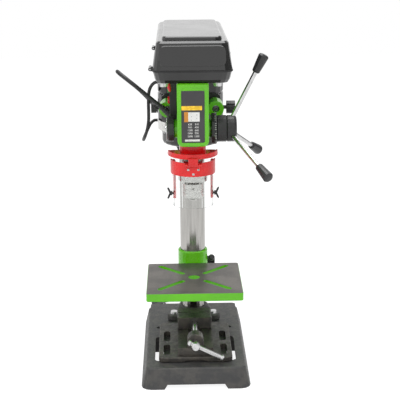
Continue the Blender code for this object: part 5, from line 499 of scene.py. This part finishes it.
NODE_FINISHES = {
    "base column_foot": BASE_CASTING,
    "head_casting table_bracket": GREEN_ENAMEL,
    "column": COLUMN_STEEL,
    "quill spindle chuck_body chuck_sleeve chuck_jaw_1 chuck_jaw_2 chuck_jaw_3": BRIGHT_STEEL,
    "motor_shaft feed_shaft": BRIGHT_STEEL,
    "feed_lever_1 feed_lever_2 feed_lever_3 hinge_pin_front hinge_pin_rear": PLATED_STEEL,
    "slide_rod_left slide_rod_right": PLATED_STEEL,
    "tilt_bolt vise_screw vise_bar": PLATED_STEEL,
    "belt_cover": COVER_ENAMEL,
    "belt_housing motor_body motor_cap": BLACK_ENAMEL,
    "feed_hub depth_ring wing_screw_left wing_screw_right cover_latch motor_plate": BLACK_MOULDING,
    "slide_knob_left slide_knob_right table_clamp": BLACK_MOULDING,
    "lever_knob_1 lever_knob_2 lever_knob_3": GRIP_MOULDING,
    "switch_box": SWITCH_MOULDING,
    "spring_cap": CAP_MOULDING,
    "guard_clamp guard_hood": RED_MOULDING,
    "clear_shield": CLEAR_SHEET,
    "spindle_pulley motor_pulley": TURNED_ALUMINIUM,
    "drive_belt": BELT_RUBBER,
    "cord_gland plug mains_cord cord_coil motor_lead": CORD_SHEATH,
    "start_button": START_GREEN,
    "stop_button": STOP_RED,
    "table": TABLE_FINISH,
    "vise_body vise_jaw": VISE_IRON,
}


def dress_nodes():
    """Gives each CAD node its finish."""
    for names, finish in NODE_FINISHES.items():
        for name in names.split():
            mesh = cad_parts[name].data
            mesh.materials.clear()
            mesh.materials.append(finish)


# Shapes: arrays of points on a grid, worked out whole


def grid_faces(rows, columns):
    """Quads between the rows of a closed grid: each joins two neighbours of one row to the same two of the next."""
    i, j = np.meshgrid(np.arange(rows - 1), np.arange(columns), indexing="ij")
    k = (j + 1) % columns
    quads = [i * columns + j, i * columns + k, (i + 1) * columns + k, (i + 1) * columns + j]
    return np.stack(quads, axis=-1).reshape(-1, 4)


def piece(name, grids, finish, body, slot_name, crease=32):
    """One object from closed grids of points: doubles merged, faces turned outward, smooth up to a crease angle."""
    points, faces, start = [], [], 0
    for grid in grids:
        rows, columns = grid.shape[:2]
        points.append(grid.reshape(-1, 3))
        faces.append(grid_faces(rows, columns) + start)
        start += rows * columns
    mesh = bpy.data.meshes.new(name)
    mesh.from_pydata(np.concatenate(points).tolist(), [], np.concatenate(faces).tolist())
    shell = bmesh.new()
    shell.from_mesh(mesh)
    bmesh.ops.remove_doubles(shell, verts=shell.verts, dist=1e-6)
    bmesh.ops.dissolve_degenerate(shell, edges=shell.edges, dist=1e-7)
    bmesh.ops.recalc_face_normals(shell, faces=shell.faces)
    shell.to_mesh(mesh)
    shell.free()
    mesh.shade_smooth()
    mesh.set_sharp_from_angle(angle=math.radians(crease))
    mesh.materials.append(finish)
    made = bpy.data.objects.new(name, mesh)
    bpy.context.scene.collection.objects.link(made)
    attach(made, body)
    return made


def axes_of(direction, lean=(0.0, 0.0, 1.0)):
    """Three square directions, the third along the one given and the second as near to lean as it can be."""
    along = np.array(direction, float) / np.linalg.norm(direction)
    lean = np.array(lean, float) if abs(np.dot(lean, along)) < 0.95 else np.array([0.0, 1.0, 0.0])
    across = np.cross(lean, along)
    across /= np.linalg.norm(across)
    return np.stack([across, np.cross(along, across), along])


def turned(rings, centre, direction, steps=32, corners=0):
    """Points of a turned form: at height h the reach is r, drawn in towards a polygon of n corners by a share s, where
    the polygon's own reach at an angle a past the middle of a flat is cos(pi / n) / cos(a)."""
    rings = np.array(rings, float)
    reach, height = rings[:, 0], rings[:, 1]
    share = rings[:, 2] if rings.shape[1] > 2 else np.zeros(len(rings))
    angle = np.linspace(0, 2 * np.pi, steps, endpoint=False)
    flat = np.ones(steps)
    if corners:
        past = (angle + np.pi / corners) % (2 * np.pi / corners) - np.pi / corners
        flat = math.cos(math.pi / corners) / np.cos(past)
    scale = reach[:, None] * (1 + share[:, None] * (flat[None, :] - 1))
    local = np.stack([scale * np.cos(angle), scale * np.sin(angle), np.repeat(height[:, None], steps, axis=1)], axis=-1)
    return local @ axes_of(direction) + np.array(centre)


def plate(width, height, corner, thickness, centre, outward, up=(0, 0, 1), steps=24):
    """Points of a thin plate: its edge is a round corner's circle moved out to the four corners in turn, and its
    rows run from the back's middle over the edge to the front's middle."""
    angle = np.linspace(0, 2 * np.pi, steps, endpoint=False) + np.pi / steps
    bearing = np.stack([np.cos(angle), np.sin(angle)], axis=-1)
    sides = np.sign(bearing) * np.array([width / 2 - corner, height / 2 - corner])
    edge = sides + corner * bearing
    rows = [(0.0, 0.0), (1.0, 0.0), (1.0, 0.8 * thickness), (1 - 0.4 * thickness / height, thickness), (0.0, thickness)]
    local = np.stack([np.concatenate([edge * share, np.full((steps, 1), h)], axis=1) for share, h in rows])
    return local @ axes_of(outward, up) + np.array(centre)


def hex_bolt(size, centre, direction):
    """A washer and a chamfered hexagon head, seated on a face and turned outward from it."""
    across, height = size
    corner = across / 2 / math.cos(math.pi / 6)
    washer, low = across * 0.78, across * 0.11
    rings = [
        (0, -SEAT), (washer, -SEAT), (washer, low * 0.7), (washer * 0.96, low), (corner * 0.9, low),
        (corner, low + SEAT, 1), (corner, low + height * 0.78, 1), (across * 0.47, low + height),
        (across * 0.30, low + height), (0, low + height * 1.02),
    ]
    rings = [ring if len(ring) == 3 else (*ring, 0) for ring in rings]
    return turned(rings, centre, direction, 48, 6)


def cross_screw(size, centre, direction, steps=40):
    """A domed head with a crossed recess: its height is a dome's, less a cut where either |x| or |y| is small."""
    radius, height = size
    reach = np.linspace(1, 0, 12)[:, None] * radius
    angle = np.linspace(0, 2 * np.pi, steps, endpoint=False)[None, :]
    x, y = reach * np.cos(angle), reach * np.sin(angle)
    dome = height * np.sqrt(np.clip(1 - (reach / radius) ** 2 * 0.86, 0, 1)) + 0 * x
    thin = np.minimum(np.abs(x), np.abs(y)) / radius
    cut = np.clip((0.16 - thin) / 0.06, 0, 1) * np.clip((0.62 - reach / radius) / 0.10, 0, 1)
    top = np.stack([x, y, dome - 0.55 * height * cut], axis=-1)
    foot = np.stack([x[0], y[0], np.full(steps, -SEAT)], axis=-1)[None]
    under = np.stack([x[0] * 0, y[0] * 0, np.full(steps, -SEAT)], axis=-1)[None]
    return np.concatenate([under, foot, top]) @ axes_of(direction) + np.array(centre)


def lettering(name, rows, size, finish, body, slot_name, outward=(0, -1, 0), up=(0, 0, 1)):
    """Printed figures: each row is a text and the middle of its place, made a mesh before it is placed."""
    basis = axes_of(outward, up)
    shell = bmesh.new()
    for text, centre in rows:
        curve = bpy.data.curves.new(name, "FONT")
        curve.body = text
        curve.size = size
        curve.extrude = PRINT_THICKNESS / 2
        curve.align_x = "CENTER"
        curve.align_y = "CENTER"
        curve.resolution_u = 3
        written = bpy.data.objects.new(name, curve)
        flat = bpy.data.meshes.new_from_object(written)
        bpy.data.objects.remove(written)
        matrix = np.eye(4)
        matrix[:3, :3] = basis.T
        matrix[:3, 3] = centre
        flat.transform(Matrix(matrix.tolist()))
        shell.from_mesh(flat)
        bpy.data.meshes.remove(flat)
    mesh = bpy.data.meshes.new(name)
    bmesh.ops.remove_doubles(shell, verts=shell.verts, dist=1e-6)
    shell.to_mesh(mesh)
    shell.free()
    mesh.materials.append(finish)
    made = bpy.data.objects.new(name, mesh)
    bpy.context.scene.collection.objects.link(made)
    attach(made, body)
    return made


def smooth_route(route, spacing):
    """Points a set distance apart on the curve that passes through a route with the tangents of its neighbours."""
    knots = np.array(route, float)
    knots = np.concatenate([[2 * knots[0] - knots[1]], knots, [2 * knots[-1] - knots[-2]]])
    a, b, c, d = knots[:-3, None], knots[1:-2, None], knots[2:-1, None], knots[3:, None]
    t = np.linspace(0, 1, 20, endpoint=False)[None, :, None]
    fine = 0.5 * (2 * b + (c - a) * t + (2 * a - 5 * b + 4 * c - d) * t**2 + (3 * b - a - 3 * c + d) * t**3)
    fine = np.concatenate([fine.reshape(-1, 3), knots[-2:-1]])
    walked = np.concatenate([[0], np.cumsum(np.linalg.norm(np.diff(fine, axis=0), axis=1))])
    stops = np.linspace(0, walked[-1], max(2, round(walked[-1] / spacing)) + 1)
    return np.stack([np.interp(stops, walked, fine[:, i]) for i in range(3)], axis=1)


def cord_curve(name, points, diameter, finish, body):
    """A round cord: one open spline through the points, with a round section and closed ends."""
    curve = bpy.data.curves.new(name, "CURVE")
    curve.dimensions = "3D"
    curve.bevel_depth = diameter / 2
    curve.bevel_resolution = 5
    curve.use_fill_caps = True
    spline = curve.splines.new("POLY")
    spline.points.add(len(points) - 1)
    spline.points.foreach_set("co", np.concatenate([points, np.ones((len(points), 1))], axis=1).ravel())
    spline.use_smooth = True
    curve.materials.append(finish)
    made = bpy.data.objects.new(name, curve)
    bpy.context.scene.collection.objects.link(made)
    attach(made, body)
    return made


# Pieces


def coil_route():
    """Two layers of loops: the reach falls to the middle turn and grows again, and the climb takes half a turn."""
    count = round(COIL_TURNS * COIL_POINTS_PER_TURN)
    turns = np.linspace(0, COIL_TURNS, count + 1)
    half = COIL_TURNS / 2
    reach = COIL_MIDDLE_RADIUS - COIL_SPACING * half / 2 + COIL_SPACING * np.abs(turns - half)
    climb = np.clip((turns - half) * 2 + 0.5, 0, 1)
    angle = np.pi / 2 + 2 * np.pi * turns
    x = COIL_CENTRE[0] + reach * np.cos(angle)
    y = COIL_CENTRE[1] + reach * np.sin(angle)
    z = CORD_DIAMETER / 2 + COIL_SPACING * climb * climb * (3 - 2 * climb)
    loops = np.stack([x, y, z], axis=1)
    straight = np.array([CORD_DIAMETER, 0, 0])
    return np.concatenate([[loops[0] + straight], loops, [loops[-1] + straight]])


def supply_cord():
    """The whole cord in one line: out of its gland, along the route, round the coil and up to the plug."""
    rise = math.radians(GLAND_RISE_DEGREES)
    out = np.array([-math.cos(rise), 0, math.sin(rise)])
    start = np.array(GLAND_FACE) + out * (GLAND_LENGTH + GLAND_GAP)
    coil = coil_route()
    run = smooth_route([start, start + out * CORD_DIAMETER, *CORD_ROUTE, coil[0]], CORD_STEP)
    line = np.concatenate([run, coil[1:]]) + HOME
    made = cord_curve("supply_cord", line, CORD_DIAMETER, CORD_SHEATH, "press_frame")
    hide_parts("mains_cord", "cord_coil")


def motor_cord():
    """The motor's lead, held by the switch box at one end and by the motor at the other."""
    line = smooth_route(LEAD_ROUTE, LEAD_STEP) + HOME
    made = cord_curve("motor_cord", line, LEAD_DIAMETER, CORD_SHEATH, "press_frame")
    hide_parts("motor_lead")


def rating_plate():
    """The dark plate in the head's recess, with generic speeds and plain bands."""
    face = span("head_casting")[0][1] + RECESS_DEPTH
    front = face - PLATE_THICKNESS
    x, out = HOME[0], (0, -1, 0)
    place = "press_frame", "black_plastic"
    centre = (x, face, (PLATE_LOW_Z + PLATE_HIGH_Z) / 2)
    sheet = plate(PLATE_WIDTH, PLATE_HIGH_Z - PLATE_LOW_Z, PLATE_CORNER, PLATE_THICKNESS, centre, out)
    piece("rating_plate", [sheet], PLATE_GREY, *place)
    inks = (PLATE_YELLOW, PLATE_ORANGE, PLATE_WHITE, PLATE_WHITE)
    for (name, (left, right, low, high)), ink in zip(PRINTED_BLOCKS.items(), inks):
        centre = (x + (left + right) / 2, front, (low + high) / 2)
        printed = plate(right - left, high - low, PRINT_CORNER, PRINT_THICKNESS, centre, out)
        piece(name, [printed], ink, *place)
    rows = [
        (str(speed), (x + column, front - PRINT_THICKNESS / 2, SPEED_TOP_Z - i * SPEED_PITCH))
        for i, pair in enumerate(SPEEDS)
        for speed, column in zip(pair, SPEED_COLUMNS)
    ]
    lettering("plate_speeds", rows, SPEED_SIZE, PLATE_WHITE, *place)
    steps = [
        (str(i + 1), (x + STEP_COLUMNS[i % 2], front - 1.5 * PRINT_THICKNESS, STEP_TOP_Z - i * STEP_PITCH))
        for i in range(STEP_COUNT)
    ]
    lettering("plate_steps", steps, STEP_SIZE, PLATE_BLACK, *place)
    count, first, pitch, z, width, length = BAR_MARKS
    marks = [
        plate(
            width, length, MARK_CORNER, PRINT_THICKNESS, (x + first + i * pitch, front - PRINT_THICKNESS, z), out,
            steps=8,
        )
        for i in range(count)
    ]
    piece("plate_bar_marks", marks, PLATE_BLACK, *place)


def motor_plate_label():
    """A bare pale label bent round the motor's shell: a strip of a cylinder from one bearing to another, closed at
    each end round the middle of its section."""
    low, high = span("motor_body")
    centre, radius = (low + high) / 2, (high[0] - low[0]) / 2
    bearing = np.radians(np.linspace(*LABEL_BEARINGS, LABEL_STEPS)) - np.pi / 2
    bottom, top = LABEL_Z
    inner, outer = radius - LABEL_SINK, radius + LABEL_PROUD
    corners = ((inner, bottom), (outer, bottom), (outer, top), (inner, top))
    strip = np.stack([
        np.stack([centre[0] + r * np.cos(bearing), centre[1] + r * np.sin(bearing), np.full(LABEL_STEPS, z)], axis=-1)
        for r, z in corners
    ])
    ends = [np.repeat(strip[[0, 1, 2, 3, 0], k].mean(axis=0)[None, None], 4, axis=1) for k in (0, -1)]
    closed = np.concatenate([ends[0], np.swapaxes(strip, 0, 1), ends[1]])
    piece("motor_label", [closed], PLATE_WHITE, "motor", "black_plastic")


def fasteners():
    """Bolt heads and screws, each seated on the face that it holds."""
    floor_z = span("belt_housing")[0][2]
    bolts = [hex_bolt(HOUSING_BOLT, HOME + (x, y, floor_z), (0, 0, -1)) for x, y in HOUSING_BOLT_PLACES]
    piece("housing_bolts", bolts, PLATED_STEEL, "press_frame", "bright_steel")
    column = middle("column") * (1, 1, 0)
    top = span("base")[1][2] + FOOT_FLANGE
    foot = []
    for bearing in FOOT_BOLT_BEARINGS:
        angle = math.radians(bearing)
        where = column + np.array([FOOT_BOLT_CIRCLE * math.cos(angle), FOOT_BOLT_CIRCLE * math.sin(angle), top])
        foot.append(hex_bolt(FOOT_BOLT, where, (0, 0, 1)))
    piece("foot_bolts", foot, PLATED_STEEL, "press_frame", "bright_steel")
    hood = span("guard_hood")
    radius = (hood[1][0] - hood[0][0]) / 2
    screws = []
    for x, z in HOOD_SCREW_PLACES:
        y = -math.sqrt(radius**2 - x**2)
        screws.append(cross_screw(HOOD_SCREW, HOME + (x, y + SEAT, z), (x, y, 0)))
    piece("hood_screws", screws, PLATED_STEEL, "hood", "bright_steel")
    cap_low, cap_high = span("motor_cap")
    centre = (cap_low + cap_high) / 2
    ring = []
    for a in (math.pi / 4, 3 * math.pi / 4, 5 * math.pi / 4, 7 * math.pi / 4):
        x, y = centre[0] + CAP_SCREW_CIRCLE * math.cos(a), centre[1] + CAP_SCREW_CIRCLE * math.sin(a)
        ring.append(cross_screw(CAP_SCREW, (x, y, cap_low[2] + CAP_SCREW_SINK), (0, 0, -1)))
    piece("motor_cap_screws", ring, PLATED_STEEL, "motor", "bright_steel")


def button_marks():
    """The bar and the ring on the two push buttons."""
    outward = (-1, 0, 0)

    def face(name):
        low, high = span(name)
        return (low[0], (low[1] + high[1]) / 2, (low[2] + high[2]) / 2)

    bar = plate(*START_BAR, PRINT_THICKNESS, face("start_button"), outward)
    piece("start_button_mark", [bar], PLATE_WHITE, "start", "start_green")
    inner, outer = STOP_RING
    rings = [(inner, 0), (outer, 0), (outer, PRINT_THICKNESS), (inner, PRINT_THICKNESS), (inner, 0)]
    piece("stop_button_mark", [turned(rings, face("stop_button"), outward, 36)], PLATE_WHITE, "stop", "stop_red")


def ring_scale():
    """Marks round the depth ring: thin plates on its rim, every fifth one wider."""
    low, high = span("depth_ring")
    centre, radius = (low + high) / 2, (high[2] - low[2]) / 2 * RING_MARK_REACH
    grids = []
    for i in range(RING_MARK_COUNT):
        angle = 2 * math.pi * i / RING_MARK_COUNT
        out = np.array([0.0, math.cos(angle), math.sin(angle)])
        width = RING_SHORT if i % RING_LONG_EVERY else RING_LONG
        where = centre + out * radius + np.array([high[0] - centre[0] - RING_MARK_INSET - width / 2, 0, 0])
        along = (0, -math.sin(angle), math.cos(angle))
        grids.append(plate(width, RING_MARK_WIDTH, MARK_CORNER, PRINT_THICKNESS, where, out, along, 8))
    piece("depth_ring_scale", grids, PLATE_WHITE, "ring", "black_plastic")


def cap_rim():
    """The spring cap's pressed rim, a small round section carried round a circle, and its middle nut."""
    low, high = span("spring_cap")
    centre, radius = (low + high) / 2, (high[2] - low[2]) / 2
    angle = np.linspace(0, 2 * np.pi, 49)
    turn = np.linspace(0, 2 * np.pi, 12, endpoint=False)
    reach = radius - RIM_INSET + RIM_SECTION * np.cos(turn)[None, :]
    x = low[0] + SEAT + RIM_SECTION + RIM_SECTION * np.sin(turn)[None, :] + 0 * angle[:, None]
    y = centre[1] + reach * np.cos(angle)[:, None]
    z = centre[2] + reach * np.sin(angle)[:, None]
    piece("spring_cap_rim", [np.stack([x, y, z], axis=-1)], PLATED_STEEL, "press_frame", "bright_steel")
    nut = hex_bolt(CAP_NUT, (low[0] + CAP_NUT_SINK, centre[1], centre[2]), (-1, 0, 0))
    piece("spring_cap_nut", [nut], PLATED_STEEL, "press_frame", "bright_steel")


def coil_tie():
    """The strap that holds the coil: a flat band carried round the section of the wound turns, which is a circle's
    cosine and sine, each taken to a power so that its corners fill out."""
    low, high = span("cord_coil")
    angle = np.linspace(0, 2 * np.pi, 40, endpoint=False)
    mid_reach, half = sum(TIE_REACH) / 2, (TIE_REACH[1] - TIE_REACH[0]) / 2
    bearing = math.radians(TIE_BEARING)
    radial = np.array([math.cos(bearing), math.sin(bearing), 0.0])
    beside = np.array([-math.sin(bearing), math.cos(bearing), 0.0])
    centre = HOME + (COIL_CENTRE[0], COIL_CENTRE[1], (low[2] + high[2]) / 2)
    tall = (high[2] - low[2]) / 2
    inner, outer = TIE_FACES
    wide = TIE_HALF_WIDTH
    rows = []
    for grow, across in ((inner, -wide), (outer, -wide), (outer, wide), (inner, wide), (inner, -wide)):
        u = (half + grow) * np.sign(np.cos(angle)) * np.abs(np.cos(angle)) ** 0.5
        w = np.clip((tall + grow) * np.sign(np.sin(angle)) * np.abs(np.sin(angle)) ** 0.5, -tall, tall + grow)
        rows.append(centre + (mid_reach + u)[:, None] * radial + across * beside + w[:, None] * UP)
    piece("coil_tie", [np.stack(rows)], BLACK_MOULDING, "press_frame", "cord_rubber")


def earth_sleeve():
    """The short red sleeve that hangs under the cover beside the switch box."""
    top = HOME + (*SLEEVE_TOP, span("belt_housing")[0][2])
    piece("earth_sleeve", [turned(SLEEVE_RINGS, top, SLEEVE_LEAN, 24)], RED_MOULDING, "press_frame", "guard_red")


def add_pieces():
    supply_cord()
    motor_cord()
    rating_plate()
    motor_plate_label()
    fasteners()
    button_marks()
    ring_scale()
    cap_rim()
    coil_tie()
    earth_sleeve()


# Studio, floor and camera


def studio():
    """Four soft lamps round the machine, and a room that is white to the camera. Reflections see it dim at the sides,
    brighter in front, and white above and behind."""
    target = Vector(middle("column"))
    for name, (where, side, power) in LAMPS.items():
        light = bpy.data.lights.new(name, "AREA")
        light.shape = "SQUARE"
        light.size = side
        light.energy = power
        lamp = bpy.data.objects.new(name, light)
        lamp.location = where
        lamp.rotation_euler = (target - Vector(where)).to_track_quat("-Z", "Y").to_euler()
        bpy.context.scene.collection.objects.link(lamp)
    world = bpy.data.worlds.new("studio")
    world.use_nodes = True
    tree = world.node_tree
    back = tree.nodes["Background"]
    path = node(tree, "ShaderNodeLightPath").outputs
    way = node(tree, "ShaderNodeSeparateXYZ", {0: node(tree, "ShaderNodeTexCoord").outputs["Generated"]}).outputs
    depth = maths(tree, "ABSOLUTE", way["Y"])
    above = ramp(tree, way["Z"], 0.35, 0.85, 0.0, 1.0)
    level = maths(tree, "MAXIMUM", ramp(tree, depth, 0.55, 0.92, 0.10, 0.45), above)
    bright = maths(tree, "MAXIMUM", level, ramp(tree, way["Y"], 0.70, 0.92, 0.0, 1.0))
    seen = maths(tree, "MAXIMUM", path["Is Camera Ray"], path["Is Transmission Ray"])
    shown = maths(tree, "MAXIMUM", seen, maths(tree, "MULTIPLY", path["Is Glossy Ray"], bright))
    room = maths(tree, "MAXIMUM", shown, maths(tree, "MULTIPLY", path["Is Diffuse Ray"], ROOM_FILL))
    tree.links.new(room, back.inputs["Strength"])
    back.inputs["Color"].default_value = (1, 1, 1, 1)
    bpy.context.scene.world = world


def floor():
    """A flat pale sheet far wider than the machine, which keeps a soft shadow."""
    half = FLOOR_SIDE / 2
    mesh = bpy.data.meshes.new("floor")
    mesh.from_pydata([(-half, -half, 0), (half, -half, 0), (half, half, 0), (-half, half, 0)], [], [(0, 1, 2, 3)])
    made = bpy.data.objects.new("floor", mesh)
    bpy.context.scene.collection.objects.link(made)
    pale, tree, shader = surface("pale_floor", base_color=(0.86, 0.86, 0.86, 1.0), roughness=0.8)
    glow = node(tree, "ShaderNodeEmission", {"Color": (1, 1, 1, 1), "Strength": FLOOR_GLOW})
    path = node(tree, "ShaderNodeLightPath").outputs
    seen = maths(tree, "MAXIMUM", path["Is Camera Ray"], path["Is Transmission Ray"])
    mirrored = maths(tree, "MULTIPLY", path["Is Glossy Ray"], FLOOR_MIRRORED)
    share = maths(tree, "MAXIMUM", maths(tree, "MULTIPLY", seen, FLOOR_SEEN), mirrored)
    blend = node(tree, "ShaderNodeMixShader", {0: share, 1: shader.outputs[0], 2: glow.outputs[0]})
    tree.links.new(blend.outputs[0], tree.nodes["Material Output"].inputs["Surface"])
    mesh.materials.append(pale)


def camera():
    """The photograph's camera: level distance, side step and height from the column's axis, then pitch and roll."""
    axis = middle("column")
    turn, pitch, roll = (math.radians(v) for v in (CAMERA_TURN, CAMERA_PITCH, CAMERA_ROLL))
    level = np.array([math.sin(turn), math.cos(turn), 0.0])
    right = np.array([math.cos(turn), -math.sin(turn), 0.0])
    where = axis * (1, 1, 0) + right * CAMERA_SIDE - level * CAMERA_DISTANCE + UP * CAMERA_HEIGHT
    ahead = level * math.cos(pitch) - UP * math.sin(pitch)
    up = np.cross(right, ahead)
    tilted_up = up * math.cos(roll) + right * math.sin(roll)
    tilted_right = np.cross(ahead, tilted_up)
    made = bpy.data.objects.new("camera", bpy.data.cameras.new("camera"))
    made.data.lens = LENS
    made.data.clip_end = 50
    matrix = np.eye(4)
    matrix[:3] = np.stack([tilted_right, tilted_up, -ahead, where], axis=1)
    made.matrix_world = Matrix(matrix.tolist())
    bpy.context.scene.collection.objects.link(made)
    bpy.context.scene.camera = made


def main():
    bpy.context.scene.view_settings.view_transform = "Standard"
    dress_nodes()
    studio()
    floor()
    camera()
    add_pieces()


main()
